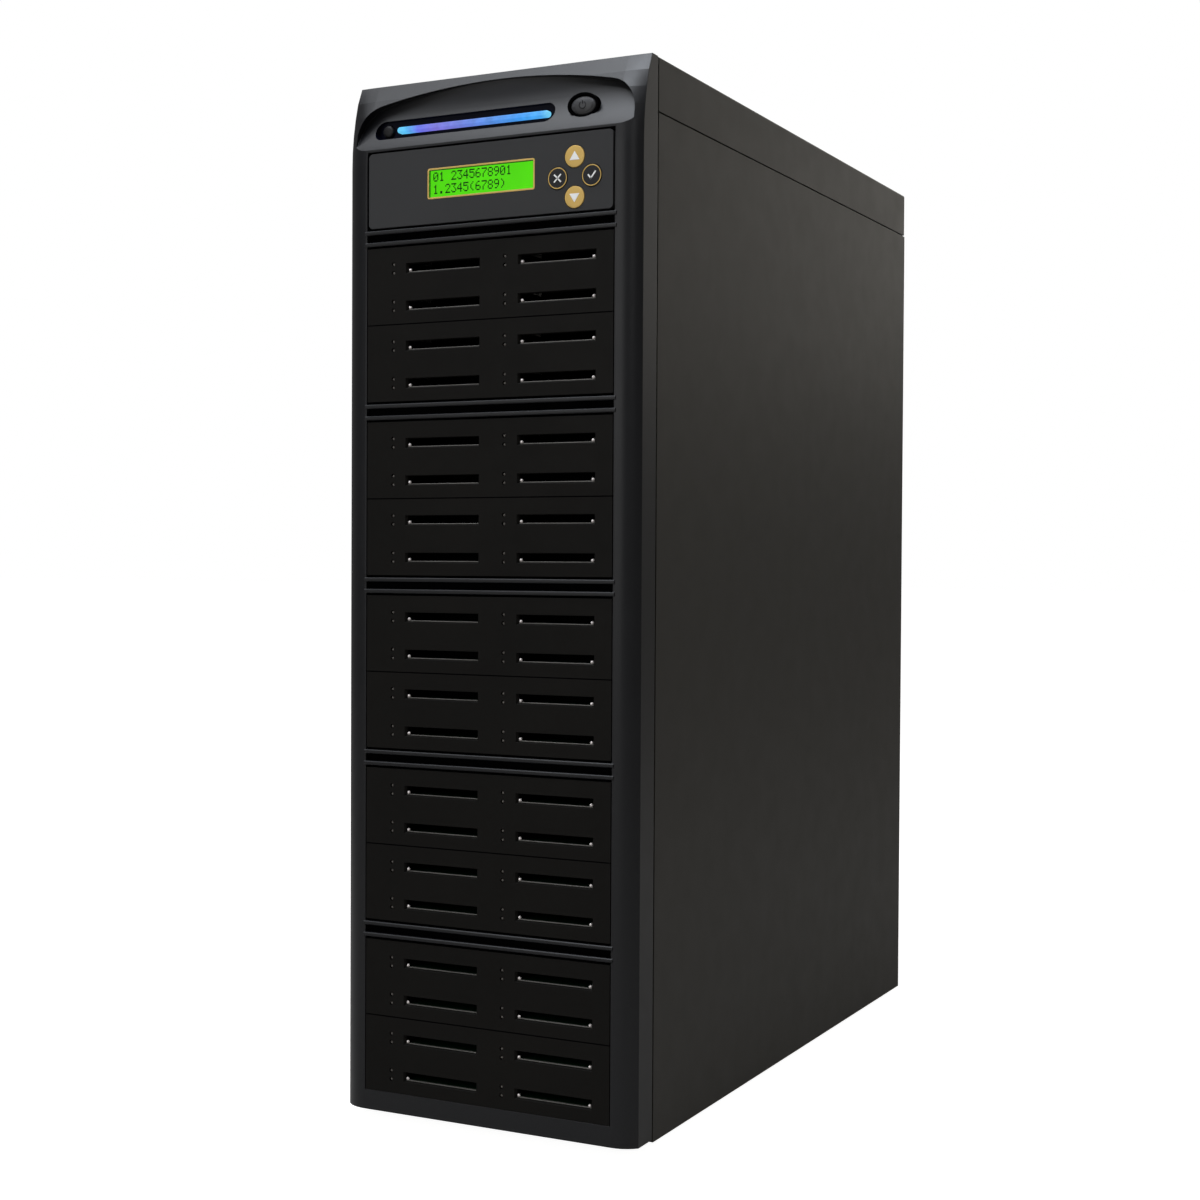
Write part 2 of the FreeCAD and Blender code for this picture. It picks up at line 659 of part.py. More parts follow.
def card_faceplate(bottom):
    """A card bay's front, with its slots and a pair of indicator holes beside each."""
    y = (FACE, FRAME_FRONT)
    z = (bottom + PLATE_GAP / 2, bottom + BAY_PITCH - PLATE_GAP / 2)
    plate = block((-BAY_WIDTH / 2, BAY_WIDTH / 2), y, z)
    cuts = []
    for x in SLOT_COLUMNS:
        for row in SLOT_ROWS:
            cuts += card_mouth(x, bottom + row)
            for side in (-1, 1):
                lamp_z = bottom + row + side * LED_SPACING / 2
                cuts.append(facets(HOLE_SIDES, LED_RADIUS, x - LED_OFFSET, lamp_z, y))
    return plate.cut(cuts)


def bay_frame(bottom):
    """The folded steel tray behind a faceplate: a floor and two sides."""
    half = FRAME_WIDTH / 2
    low = bottom + FRAME_LIFT
    y = (FRAME_FRONT, FRAME_FRONT + FRAME_DEPTH)
    outside = block((-half, half), y, (low, low + FRAME_HEIGHT))
    inside = block((-half + SHEET, half - SHEET), y, (low + SHEET, low + FRAME_HEIGHT))
    return outside.cut(inside)


def controller_frame():
    """The control bay's tray, its floor cut back behind the display and the keys."""
    half = FRAME_WIDTH / 2 - SHEET
    low = CONTROL_BOTTOM + FRAME_LIFT
    notch_y = (FRAME_FRONT, FRAME_FRONT + CONTROLLER_SETBACK)
    return bay_frame(CONTROL_BOTTOM).cut(block((-half, half), notch_y, (low, low + SHEET)))


def slot_places():
    """Each card slot's column, row level above the floor."""
    return [(x, bottom + row) for bottom in BAY_BOTTOMS for row in SLOT_ROWS for x in SLOT_COLUMNS]


def reader_boards():
    boards = []
    for bottom in BAY_BOTTOMS:
        for row in SLOT_ROWS:
            top = bottom + row - SLOT_HEIGHT / 2
            y = (BOARD_FRONT, BOARD_BACK)
            boards.append(block((-BOARD_HALF, BOARD_HALF), y, (top - BOARD_THICKNESS, top)))
    return boards


def card_headers():
    """The pin blocks at the back of the card slots."""
    width = SLOT_WIDTH + 2 * GUIDE_WIDTH
    y = (FACE + CARD_REACH, FACE + CARD_REACH + HEADER_BLOCK_DEPTH)
    return [
        block(span(x, width), y, (z - SLOT_HEIGHT / 2, z - SLOT_HEIGHT / 2 + GUIDE_HEIGHT))
        for x, z in slot_places()
    ]


def card_guides():
    """The rails that lead each card from the faceplate to its pins."""
    guides = []
    for x, z in slot_places():
        low = z - SLOT_HEIGHT / 2
        for side in (-1, 1):
            middle = x + side * (SLOT_WIDTH + GUIDE_WIDTH) / 2
            y = (BOARD_FRONT, FACE + CARD_REACH)
            guides.append(block(span(middle, GUIDE_WIDTH), y, (low, low + GUIDE_HEIGHT)))
    return guides


def status_leds():
    """The stacked two-lamp indicators between each reader board and its faceplate."""
    height = LED_SPACING + 2 * (LED_RADIUS + LED_BLOCK_MARGIN)
    y = (FRAME_FRONT, BOARD_FRONT)
    return [block(span(x - LED_OFFSET, LED_BLOCK_WIDTH), y, span(z, height)) for x, z in slot_places()]


def control_panel():
    """The control bay's front, with a rebated window, four key holes and bosses for the key board."""
    y = (FACE, FRAME_FRONT)
    x = span(0, BAY_WIDTH - 2 * CONTROL_SIDE_GAP)
    z = (CONTROL_BOTTOM + PLATE_GAP / 2, HEADER_BOTTOM - CONTROL_TOP_GAP)
    panel = prism(rounded(x, z, CONTROL_CORNER, FACE), Vector(0, PLATE_THICKNESS, 0))
    opening = (WINDOW_WIDTH, WINDOW_HEIGHT)
    rebate = [size + 2 * WINDOW_REBATE for size in opening]
    cuts = [
        block(span(WINDOW_X, opening[0]), y, span(WINDOW_Z, opening[1])),
        block(span(WINDOW_X, rebate[0]), (FACE, FACE + LENS_THICKNESS), span(WINDOW_Z, rebate[1])),
    ]
    for key_x, key_z in KEY_PLACES.values():
        cuts.append(facets(KEY_SIDES, KEY_RADIUS + KEY_CLEARANCE, key_x, key_z, y))
    boss_y = (FRAME_FRONT, KEY_BOARD_FRONT)
    bosses = [facets(SCREW_SIDES, KEY_BOSS_RADIUS, *place, boss_y) for place in key_boss_places()]
    return fuse([panel.cut(cuts)] + bosses)


def key_boss_places():
    """Opposite corners of the key board, clear of the round key flanges."""
    return [(KEY_X + side * KEY_SPREAD, KEY_Z + side * KEY_LIFT) for side in (-1, 1)]


def lcd_window():
    x = span(WINDOW_X, WINDOW_WIDTH + 2 * (WINDOW_REBATE - WINDOW_CLEARANCE))
    z = span(WINDOW_Z, WINDOW_HEIGHT + 2 * (WINDOW_REBATE - WINDOW_CLEARANCE))
    return block(x, (FACE, FACE + LENS_THICKNESS), z)


def lcd_display():
    """The display: a metal frame behind the panel, with its glass raised into the window."""
    frame_y = (FRAME_FRONT, FRAME_FRONT + DISPLAY_DEPTH)
    frame = block(span(WINDOW_X, DISPLAY_WIDTH), frame_y, span(WINDOW_Z, DISPLAY_HEIGHT))
    glass_x = span(WINDOW_X, WINDOW_WIDTH - 2 * GLASS_GAP)
    glass_z = span(WINDOW_Z, WINDOW_HEIGHT - 2 * GLASS_GAP)
    glass = block(glass_x, (FACE + LENS_THICKNESS + GLASS_GAP, FRAME_FRONT), glass_z)
    return fuse([frame, glass])


def lcd_board():
    front = FRAME_FRONT + DISPLAY_DEPTH
    x = span(WINDOW_X, DISPLAY_BOARD_WIDTH)
    return block(x, (front, front + BOARD_THICKNESS), span(CONTROL_MIDDLE, DISPLAY_BOARD_HEIGHT))


def key_cap(x, z):
    seat = FRAME_FRONT + KEY_SEAT
    cap = facets(KEY_SIDES, KEY_RADIUS, x, z, (FACE - KEY_PROUD, seat))
    flange = facets(KEY_SIDES, KEY_RADIUS + KEY_FLANGE, x, z, (seat, seat + KEY_FLANGE_THICKNESS))
    return fuse([cap, flange])


def key_board():
    width = 2 * (KEY_SPREAD + KEY_BOARD_EDGE)
    height = 2 * (KEY_LIFT + KEY_BOARD_EDGE)
    y = (KEY_BOARD_FRONT, KEY_BOARD_FRONT + BOARD_THICKNESS)
    return block(span(KEY_X, width), y, span(KEY_Z, height))


def key_switches():
    y = (KEY_SWITCH_FRONT, KEY_BOARD_FRONT)
    return [block(span(x, SWITCH_SIZE), y, span(z, SWITCH_SIZE)) for x, z in KEY_PLACES.values()]


def controller_board():
    """The copy controller, on the control bay's tray."""
    front = FRAME_FRONT + CONTROLLER_SETBACK
    bottom = CONTROL_BOTTOM + CONTROLLER_RISE
    y = (front, BOARD_BACK)
    return block((-BOARD_HALF, BOARD_HALF), y, (bottom, bottom + BOARD_THICKNESS))


def top_cover():
    """The bent cover: a top and two side flanges down to the seam above the side panels."""
    bend = TOP_BEND * (1 - math.sqrt(0.5))
    y = BEZEL_BACK + PANEL_GAP
    inner = CASE_HALF - SHEET
    points = [
        Vector(-CASE_HALF, y, SEAM),
        Vector(-CASE_HALF, y, CASE_TOP - TOP_BEND),
        (Vector(bend - CASE_HALF, y, CASE_TOP - bend), Vector(TOP_BEND - CASE_HALF, y, CASE_TOP)),
        Vector(CASE_HALF - TOP_BEND, y, CASE_TOP),
        (Vector(CASE_HALF - bend, y, CASE_TOP - bend), Vector(CASE_HALF, y, CASE_TOP - TOP_BEND)),
        Vector(CASE_HALF, y, SEAM),
        Vector(inner, y, SEAM),
        Vector(inner, y, CASE_TOP - SHEET),
        Vector(-inner, y, CASE_TOP - SHEET),
        Vector(-inner, y, SEAM),
    ]
    return prism(points, Vector(0, REAR_OUTSIDE - y, 0))


def side_panel(side):
    """A removable side: a flat sheet with its edges folded in, screwed on at the back over the rear panel."""
    inner = CASE_HALF - PANEL_FLANGE
    skin = CASE_HALF - SHEET
    y = (BEZEL_BACK + PANEL_GAP, CASE_BACK)
    z = (CASE_BOTTOM, SEAM - SEAM_GAP)
    lap = REAR_INSIDE - PANEL_RELIEF
    tray = block(mirrored(side, inner, CASE_HALF), y, z)
    rear_flange = block(mirrored(side, CASE_HALF - THUMB_FLANGE, CASE_HALF), (REAR_OUTSIDE, CASE_BACK), z)
    cuts = [
        block(mirrored(side, inner, skin), (y[0] + SHEET, lap), (z[0] + SHEET, z[1] - SHEET)),
        block(mirrored(side, inner, skin), (lap, REAR_OUTSIDE), z),
    ]
    for thumb_z in (THUMB_LOW_Z, THUMB_HIGH_Z):
        cuts.append(screw_hole(side * THUMB_X, thumb_z, (REAR_OUTSIDE, CASE_BACK)))
    return fuse([tray, rear_flange]).cut(cuts)


def base_pan():
    """The case's floor, with its sides turned up inside the side panels."""
    y = (BEZEL_BACK + SHEET, REAR_INSIDE)
    outside = block((-INNER_HALF, INNER_HALF), y, (CASE_BOTTOM, CASE_BOTTOM + PAN_FLANGE))
    inner = INNER_HALF - SHEET
    return outside.cut(block((-inner, inner), y, (CASE_BOTTOM + SHEET, CASE_BOTTOM + PAN_FLANGE)))


def front_plate():
    """The steel front that the bezel clips on, open for the bays."""
    half = CASE_HALF - BEZEL_WALL
    y = (BEZEL_BACK, BEZEL_BACK + SHEET)
    plate = block((-half, half), y, (CASE_BOTTOM, CASE_TOP - SHEET))
    window = (OPENING_BOTTOM, HEADER_BOTTOM)
    return plate.cut(block((-OPENING_HALF, OPENING_HALF), y, window))


def bay_wall(side):
    """One wall of the bay cage, slotted for the bay screws, with a flange against the front plate."""
    inner = FRAME_WIDTH / 2 + BOARD_SIDE_GAP
    flange_end = INNER_HALF - SHEET - WALL_FLANGE_GAP
    front = BEZEL_BACK + SHEET
    z = (CASE_BOTTOM + SHEET, CASE_TOP - SHEET)
    sheet_x = mirrored(side, inner, inner + SHEET)
    wall = block(sheet_x, (front, front + WALL_DEPTH), z)
    flange = block(mirrored(side, inner, flange_end), (front, front + SHEET), z)
    slot_y = span(front + WALL_SLOT_INSET, WALL_SLOT_LENGTH)
    levels = [bottom + BAY_PITCH / 2 for bottom in BAY_BOTTOMS + [CONTROL_BOTTOM]]
    slots = [block(sheet_x, slot_y, span(level, WALL_SLOT_HEIGHT)) for level in levels]
    return fuse([wall, flange]).cut(slots)


def rubber_feet():
    """Four round stick-on feet, tapered towards the floor."""
    feet = []
    for x in (FOOT_INSET - CASE_HALF, CASE_HALF - FOOT_INSET):
        for y in (BEZEL_BACK + FOOT_INSET, REAR_INSIDE - FOOT_INSET):
            rings = []
            for z, radius in ((0, FOOT_RADIUS - FOOT_TAPER), (FOOT_HEIGHT, FOOT_RADIUS)):
                turns = [2 * math.pi * n / FOOT_SIDES for n in range(FOOT_SIDES)]
                rings.append([
                    Vector(x + radius * math.cos(turn), y + radius * math.sin(turn), z) for turn in turns
                ])
            feet.append(taper(*rings))
    return feet


def screw(x, z, seat, length, head):
    """A screw driven in from the back: its head on the seat, its shank towards the front."""
    shank = facets(HOLE_SIDES, SCREW_RADIUS, x, z, (seat - length, seat))
    return fuse([head, shank])


def screw_hole(x, z, y):
    return facets(HOLE_SIDES, SCREW_RADIUS + SCREW_CLEARANCE, x, z, y)


def thumbscrews():
    screws = []
    for x in (-THUMB_X, THUMB_X):
        for z in (THUMB_LOW_Z, THUMB_HIGH_Z):
            head = facets(FOOT_SIDES, THUMB_RADIUS, x, z, (CASE_BACK, CASE_BACK + THUMB_LENGTH))
            screws.append(screw(x, z, CASE_BACK, THUMB_SHANK, head))
    return screws


def fan_corners(x, z):
    """A fan's screw places, on the corners of its square frame."""
    half = FAN_SIZE / 2 - FAN_CORNER
    return [(x + i * half, z + k * half) for i in (-1, 1) for k in (-1, 1)]


def fan_seat(back):
    """The outside of the sheet that a fan is screwed to."""
    return back + SHEET


def fan_frame(x, z, back):
    """A fan's square frame, with the holder for the rotor's shaft on four struts."""
    y = (back - FAN_DEPTH, back)
    ring = block(span(x, FAN_SIZE), y, span(z, FAN_SIZE)).cut(facets(FAN_SIDES, FAN_BORE, x, z, y))
    holder_y = (y[0], y[0] + FAN_HOLDER)
    reach = FAN_BORE + FAN_SIZE / 2
    parts = [ring, facets(FOOT_SIDES, FAN_HUB, x, z, holder_y)]
    parts.append(block(span(x, reach), holder_y, span(z, FAN_STRUT)))
    parts.append(block(span(x, FAN_STRUT), holder_y, span(z, reach)))
    cuts = [facets(SCREW_SIDES, FAN_SHAFT + FAN_SHAFT_CLEARANCE, x, z, holder_y)]
    screw_y = (back - SCREW_BITE - SCREW_CLEARANCE, back)
    cuts += [screw_hole(*corner, screw_y) for corner in fan_corners(x, z)]
    return fuse(parts).cut(cuts)


def fan_rotor(x, z, back):
    """A fan's hub, shaft and bent blades, short enough to run inside the frame's bore."""
    holder = back - FAN_DEPTH + FAN_HOLDER
    hub_y = (holder + FAN_RUN_GAP, holder + FAN_RUN_GAP + FAN_HUB_LENGTH)
    middle = (hub_y[0] + hub_y[1]) / 2
    chord = FAN_BLADE_CHORD / 2
    rise = chord * FAN_BLADE_LEAN
    front = [(-chord, -rise), (FAN_BLADE_BOW, -FAN_BLADE_BOW), (chord, rise)]
    strip = front + [(i, k + FAN_BLADE_THICKNESS) for i, k in reversed(front)]
    tip = math.sqrt((FAN_BORE - FAN_TIP_GAP) ** 2 - chord ** 2)
    blade = prism([Vector(x + i, middle + k, z) for i, k in strip], Vector(0, 0, tip))
    parts = [facets(FAN_SIDES, FAN_HUB, x, z, hub_y), rod(FAN_SHAFT, x, z, (holder - FAN_HOLDER, hub_y[0]))]
    for n in range(FAN_BLADES):
        turned = blade.copy()
        turned.rotate(Vector(x, 0, z), Vector(0, 1, 0), n * 360 / FAN_BLADES)
        parts.append(turned)
    return fuse(parts)


def fan_guards():
    """Ring guards over the fans, screwed on through the fans' corners."""
    guards = []
    for x, z, back in ALL_FANS:
        y = (fan_seat(back), fan_seat(back) + GUARD_WIRE)
        parts = []
        for share in GUARD_RING_SHARES:
            ring = facets(GUARD_SIDES, share * FAN_BORE + GUARD_WIRE / 2, x, z, y)
            parts.append(ring.cut(facets(GUARD_SIDES, share * FAN_BORE - GUARD_WIRE / 2, x, z, y)))
        reach = math.sqrt(2) * (FAN_SIZE - 2 * FAN_CORNER) - 2 * SCREW_HEAD_RADIUS - 2 * GUARD_WIRE
        for turn in (45, -45):
            spoke = block(span(x, reach), y, span(z, GUARD_WIRE))
            spoke.rotate(Vector(x, 0, z), Vector(0, 1, 0), turn)
            parts.append(spoke)
        guards.append(fuse(parts))
    return guards


def rear_screws():
    """The screws through the fans' corners, each with its head on the sheet that it holds."""
    screws = []
    for x, z, back in ALL_FANS:
        seat = fan_seat(back)
        for cx, cz in fan_corners(x, z):
            head = facets(SCREW_SIDES, SCREW_HEAD_RADIUS, cx, cz, (seat, seat + SCREW_HEAD_HEIGHT))
            screws.append(screw(cx, cz, seat, SHEET + SCREW_BITE, head))
    return screws


def rear_panel():
    """The case's back, open for both fans and the power supply, with vent slots above."""
    half = CASE_HALF - SHEET - INNER_GAP
    y = (REAR_INSIDE, REAR_OUTSIDE)
    panel = block((-half, half), y, (CASE_BOTTOM, CASE_TOP - SHEET))
    cuts = []
    for x, z in CASE_FANS.values():
        cuts.append(facets(FAN_SIDES, FAN_OPENING, x, z, y))
        cuts += [screw_hole(*corner, y) for corner in fan_corners(x, z)]
    supply_half = SUPPLY_WIDTH / 2 - SUPPLY_LIP
    supply_z = (SUPPLY_BOTTOM + SUPPLY_LIP, SUPPLY_BOTTOM + SUPPLY_HEIGHT - SUPPLY_LIP)
    cuts.append(block((-supply_half, supply_half), y, supply_z))
    for n in range(VENT_COUNT):
        z = CASE_TOP - VENT_TOP_DROP - n * VENT_PITCH
        cuts.append(block(span(0, VENT_WIDTH), y, span(z, VENT_HEIGHT)))
    for x in (-THUMB_X, THUMB_X):
        cuts += [screw_hole(x, z, y) for z in (THUMB_LOW_Z, THUMB_HIGH_Z)]
    return panel.cut(cuts)


def supply_case():
    """The power supply's steel box, open at the fan and the mains inlet, with vents at the front."""
    x = span(0, SUPPLY_WIDTH)
    y = (SUPPLY_FRONT, REAR_INSIDE)
    z = (SUPPLY_BOTTOM, SUPPLY_BOTTOM + SUPPLY_HEIGHT)
    inside = [(low + SHEET, high - SHEET) for low, high in (x, y, z)]
    back_wall = (REAR_INSIDE - SHEET, REAR_INSIDE)
    cuts = [block(*inside), facets(FAN_SIDES, FAN_OPENING, SUPPLY_FAN_X, SUPPLY_FAN_Z, back_wall)]
    cuts += [screw_hole(*corner, back_wall) for corner in fan_corners(SUPPLY_FAN_X, SUPPLY_FAN_Z)]
    inlet_x = span(INLET_X, INLET_WIDTH + 2 * INNER_GAP)
    cuts.append(block(inlet_x, back_wall, (INLET_BOTTOM - INNER_GAP, INLET_TOP + INNER_GAP)))
    front_wall = (SUPPLY_FRONT, SUPPLY_FRONT + SHEET)
    for n in range(SUPPLY_VENTS):
        middle = (n - (SUPPLY_VENTS - 1) / 2) * 2 * SUPPLY_VENT_WIDTH
        vent_x = span(middle, SUPPLY_VENT_WIDTH)
        cuts.append(block(vent_x, front_wall, span(SUPPLY_FAN_Z, SUPPLY_VENT_HEIGHT)))
    return block(x, y, z).cut(cuts)


def mains_inlet():
    """The moulded mains module: a plug recess below a rocker switch's cavity, behind one flange."""
    outside = REAR_INSIDE + INLET_FLANGE_THICKNESS
    body = block(span(INLET_X, INLET_WIDTH), (outside - INLET_DEPTH, outside), (INLET_BOTTOM, INLET_TOP))
    flange = block(
        span(INLET_X, INLET_WIDTH + 2 * INLET_FLANGE),
        (REAR_INSIDE, outside),
        (INLET_BOTTOM - INLET_FLANGE, INLET_TOP + INLET_FLANGE),
    )
    half = INLET_WIDTH / 2 - INLET_WALL
    low = INLET_BOTTOM + INLET_WALL
    high = INLET_BOTTOM + INLET_HEIGHT - INLET_WALL
    floor = outside - INLET_RECESS
    recess = prism(
        [
            Vector(INLET_X - half, floor, low + INLET_CHAMFER),
            Vector(INLET_X - half, floor, high),
            Vector(INLET_X + half, floor, high),
            Vector(INLET_X + half, floor, low + INLET_CHAMFER),
            Vector(INLET_X + half - INLET_CHAMFER, floor, low),
            Vector(INLET_X - half + INLET_CHAMFER, floor, low),
        ],
        Vector(0, INLET_RECESS, 0),
    )
    cavity_x = span(INLET_X, ROCKER_WIDTH + 2 * ROCKER_GAP)
    cavity = block(cavity_x, (floor, outside), span(ROCKER_Z, 2 * ROCKER_CAVITY_HALF))
    bore_length = ROCKER_WIDTH + 2 * (ROCKER_GAP + ROCKER_PIVOT_REACH)
    bore = pivot_bore(ROCKER_PIVOT_RADIUS + ROCKER_PIVOT_CLEARANCE, bore_length)
    return fuse([body, flange]).cut([recess, cavity, bore])


def pivot(radius, length):
    """A rod along X through the rocker's pivot."""
    start = Vector(INLET_X - length / 2, ROCKER_Y, ROCKER_Z)
    return Part.makeCylinder(radius, length, start, Vector(1, 0, 0))


def pivot_bore(radius, length):
    """A many-sided bore along X that the rocker's pivot turns in."""
    corners = oval(SCREW_SIDES, radius, radius, ROCKER_Y, ROCKER_Z, INLET_X - length / 2)
    return prism([Vector(corner.y, corner.x, corner.z) for corner in corners], Vector(length, 0, 0))


def inlet_pins():
    """The three flat pins at the bottom of the plug recess, the middle one higher."""
    outside = REAR_INSIDE + INLET_FLANGE_THICKNESS
    y = (outside - INLET_RECESS, outside - PIN_SETBACK)
    pins = []
    for n in (-1, 0, 1):
        z = INLET_Z + (PIN_STAGGER if n == 0 else -PIN_STAGGER)
        pins.append(block(span(INLET_X + n * PIN_SPREAD, PIN_WIDTH), y, span(z, PIN_HEIGHT)))
    return pins


def power_rocker():
    """The mains switch's rocker on its pivot, tipped to off."""
    start = INLET_X - ROCKER_WIDTH / 2
    half = ROCKER_HALF_HEIGHT
    foot = half - ROCKER_GAP
    crown = ROCKER_PROUD - ROCKER_DIP
    lower = [(-ROCKER_BODY, -foot), (ROCKER_PROUD, -half)]
    points = lower + [(crown, 0)] + [(y, -z) for y, z in reversed(lower)]
    body = prism([Vector(start, ROCKER_Y + y, ROCKER_Z + z) for y, z in points], Vector(ROCKER_WIDTH, 0, 0))
    pins = pivot(ROCKER_PIVOT_RADIUS, ROCKER_WIDTH + 2 * ROCKER_PIVOT_REACH)
    rocker = fuse([body, pins])
    rocker.rotate(Vector(INLET_X, ROCKER_Y, ROCKER_Z), Vector(1, 0, 0), -ROCKER_TILT)
    return rocker


def loom(x):
    """A flat loom up the boards' back edges, from the lowest reader to the controller."""
    y = (BOARD_BACK, BOARD_BACK + LOOM_THICKNESS)
    low = BAY_BOTTOMS[0] + SLOT_ROWS[0] - SLOT_HEIGHT / 2 - BOARD_THICKNESS
    return block(span(x, LOOM_WIDTH), y, (low, CONTROL_BOTTOM + CONTROLLER_RISE + BOARD_THICKNESS))


def power_loom():
    """The power loom, with a leg from the power supply."""
    leg_z = CASE_BOTTOM + POWER_LOOM_RISE
    leg = block(span(-LOOM_X, LOOM_WIDTH), (BOARD_BACK, SUPPLY_FRONT), (leg_z, leg_z + LOOM_THICKNESS))
    return fuse([loom(-LOOM_X), leg])


def nodes():
    """Every node's name with its solid or group of solids."""
    parts = {
        "front_bezel": front_bezel(),
        "light_bar": light_bar(),
        "power_button": power_button(),
        "reset_button": reset_button(),
        "header_board": header_board(),
        "header_switches": header_switches(),
        "control_panel": control_panel(),
        "lcd_window": lcd_window(),
        "lcd_display": lcd_display(),
        "lcd_board": lcd_board(),
        "key_board": key_board(),
        "key_switches": key_switches(),
        "controller_board": controller_board(),
        "controller_frame": controller_frame(),
        "card_frames": [bay_frame(bottom) for bottom in BAY_BOTTOMS],
        "reader_boards": reader_boards(),
        "card_headers": card_headers(),
        "card_guides": card_guides(),
        "status_leds": status_leds(),
        "top_cover": top_cover(),
        "left_side_panel": side_panel(-1),
        "right_side_panel": side_panel(1),
        "base_pan": base_pan(),
        "front_plate": front_plate(),
        "bay_wall_left": bay_wall(-1),
        "bay_wall_right": bay_wall(1),
        "rubber_feet": rubber_feet(),
        "thumbscrews": thumbscrews(),
        "rear_panel": rear_panel(),
        "rear_screws": rear_screws(),
        "fan_guards": fan_guards(),
        "supply_case": supply_case(),
        "supply_fan_frame": fan_frame(*ALL_FANS[-1]),
        "supply_fan_rotor": fan_rotor(*ALL_FANS[-1]),
        "mains_inlet": mains_inlet(),
        "inlet_pins": inlet_pins(),
        "power_rocker": power_rocker(),
        "data_loom": loom(LOOM_X),
        "power_loom": power_loom(),
    }
    for name, (x, z) in KEY_PLACES.items():
        parts[name] = key_cap(x, z)
    for name, (x, z) in CASE_FANS.items():
        parts[f"fan_frame_{name}"] = fan_frame(x, z, REAR_INSIDE)
        parts[f"fan_rotor_{name}"] = fan_rotor(x, z, REAR_INSIDE)
    for number, bottom in enumerate(reversed(BAY_BOTTOMS), 1):
        parts[f"card_faceplate_{number:02d}"] = card_faceplate(bottom)
    return parts


def main():
    os.makedirs("parts", exist_ok=True)
    for name, shape in nodes().items():
        whole = Part.Compound(shape) if isinstance(shape, list) else shape
        whole.exportStep(f"parts/{name}.step")


main()
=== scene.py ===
import json
import math
from functools import partial

import bpy
from mathutils import Matrix, Vector


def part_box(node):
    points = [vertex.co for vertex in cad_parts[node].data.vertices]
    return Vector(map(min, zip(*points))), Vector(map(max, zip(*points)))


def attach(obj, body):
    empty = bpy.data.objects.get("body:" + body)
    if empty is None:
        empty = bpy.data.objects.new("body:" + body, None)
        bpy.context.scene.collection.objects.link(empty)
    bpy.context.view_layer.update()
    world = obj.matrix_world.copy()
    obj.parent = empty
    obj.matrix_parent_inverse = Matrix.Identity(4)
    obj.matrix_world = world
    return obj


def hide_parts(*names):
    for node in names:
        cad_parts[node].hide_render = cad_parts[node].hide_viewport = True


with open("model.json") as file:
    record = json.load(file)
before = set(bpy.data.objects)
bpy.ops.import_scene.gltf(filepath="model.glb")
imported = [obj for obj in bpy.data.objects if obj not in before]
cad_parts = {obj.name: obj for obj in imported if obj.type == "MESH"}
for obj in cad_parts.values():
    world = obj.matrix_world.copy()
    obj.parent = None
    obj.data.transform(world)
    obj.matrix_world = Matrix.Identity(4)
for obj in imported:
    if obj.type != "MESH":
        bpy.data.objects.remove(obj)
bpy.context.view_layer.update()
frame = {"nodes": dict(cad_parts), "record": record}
NODES = frame["nodes"]
RECORD = frame["record"]
MM = 0.001

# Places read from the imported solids
PANEL_LOW, PANEL_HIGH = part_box("control_panel")
PLATE_LOW, PLATE_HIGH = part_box("card_faceplate_01")
WINDOW_LOW, WINDOW_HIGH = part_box("lcd_window")
DISPLAY_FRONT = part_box("lcd_display")[0].y
PIN_BLOCK_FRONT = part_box("card_headers")[0].y
COVER_LOW, COVER_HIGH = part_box("top_cover")
CASE_FANS = [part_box("fan_frame_upper"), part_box("fan_frame_lower")]
SUPPLY_FANS = [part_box("supply_fan_frame")]
FACE = PLATE_LOW.y


def middle(box):
    """The middle of a box as seen from the front: x and z."""
    low, high = box
    return (low.x + high.x) / 2, (low.z + high.z) / 2


# Materials

# The part of a noise texture's range that its patches spread over, and the roughness and detail of the noise
NOISE_LOW = 0.3
NOISE_HIGH = 0.7
NOISE_ROUGHNESS = 0.55
PATCH_DETAIL = 3.0
TONE_DETAIL = 4.0
GRAIN_DETAIL = 2.0
# Patches per metre: of tone and gloss on every finish, in the lit pieces and on the window
TONE_SCALE = 14.0
GLOSS_SCALE = 55.0
GLOW_SCALE = 260.0
BACKLIGHT_SCALE = 60.0
SMEAR_SCALE = 120.0
# How far the glow of the light bar and the gloss of the window wander
GLOW_RANGE = (0.85, 1.15)
SMEAR_RANGE = (0.2, 0.3)
GRAIN_HEIGHT = 0.1 * MM
BEVEL_SAMPLES = 4
# Cosines between the rounded and the flat normal, where the edge marks start and where they are full: edge
# wear where they lighten, painted shade where they darken
WEAR_AND_SHADE_START = 0.98
WEAR_AND_SHADE_FULL = 0.75


def new_material(name):
    """A material with its node tree and its main shader."""
    material = bpy.data.materials.new(name)
    material.use_nodes = True
    tree = material.node_tree
    shader = tree.nodes["Principled BSDF"]
    return material, tree, shader


def add(tree, kind, **values):
    """A new node, with its sockets or properties set by name."""
    node = tree.nodes.new(kind)
    for key, value in values.items():
        if key in node.inputs:
            node.inputs[key].default_value = value
        else:
            setattr(node, key, value)
    return node


def noise(tree, where, scale, detail):
    node = add(tree, "ShaderNodeTexNoise", Scale=scale, Detail=detail, Roughness=NOISE_ROUGHNESS)
    tree.links.new(where, node.inputs["Vector"])
    return node.outputs["Fac"]


def ramp(tree, value, low, high, out_low, out_high):
    """A value taken from one range to another, and held at the ends."""
    node = add(tree, "ShaderNodeMapRange")
    node.inputs["From Min"].default_value = low
    node.inputs["From Max"].default_value = high
    node.inputs["To Min"].default_value = out_low
    node.inputs["To Max"].default_value = out_high
    tree.links.new(value, node.inputs["Value"])
    return node.outputs["Result"]


def patches(tree, where, scale, low, high, detail=PATCH_DETAIL):
    """A value that wanders between two levels from place to place."""
    return ramp(tree, noise(tree, where, scale, detail), NOISE_LOW, NOISE_HIGH, low, high)


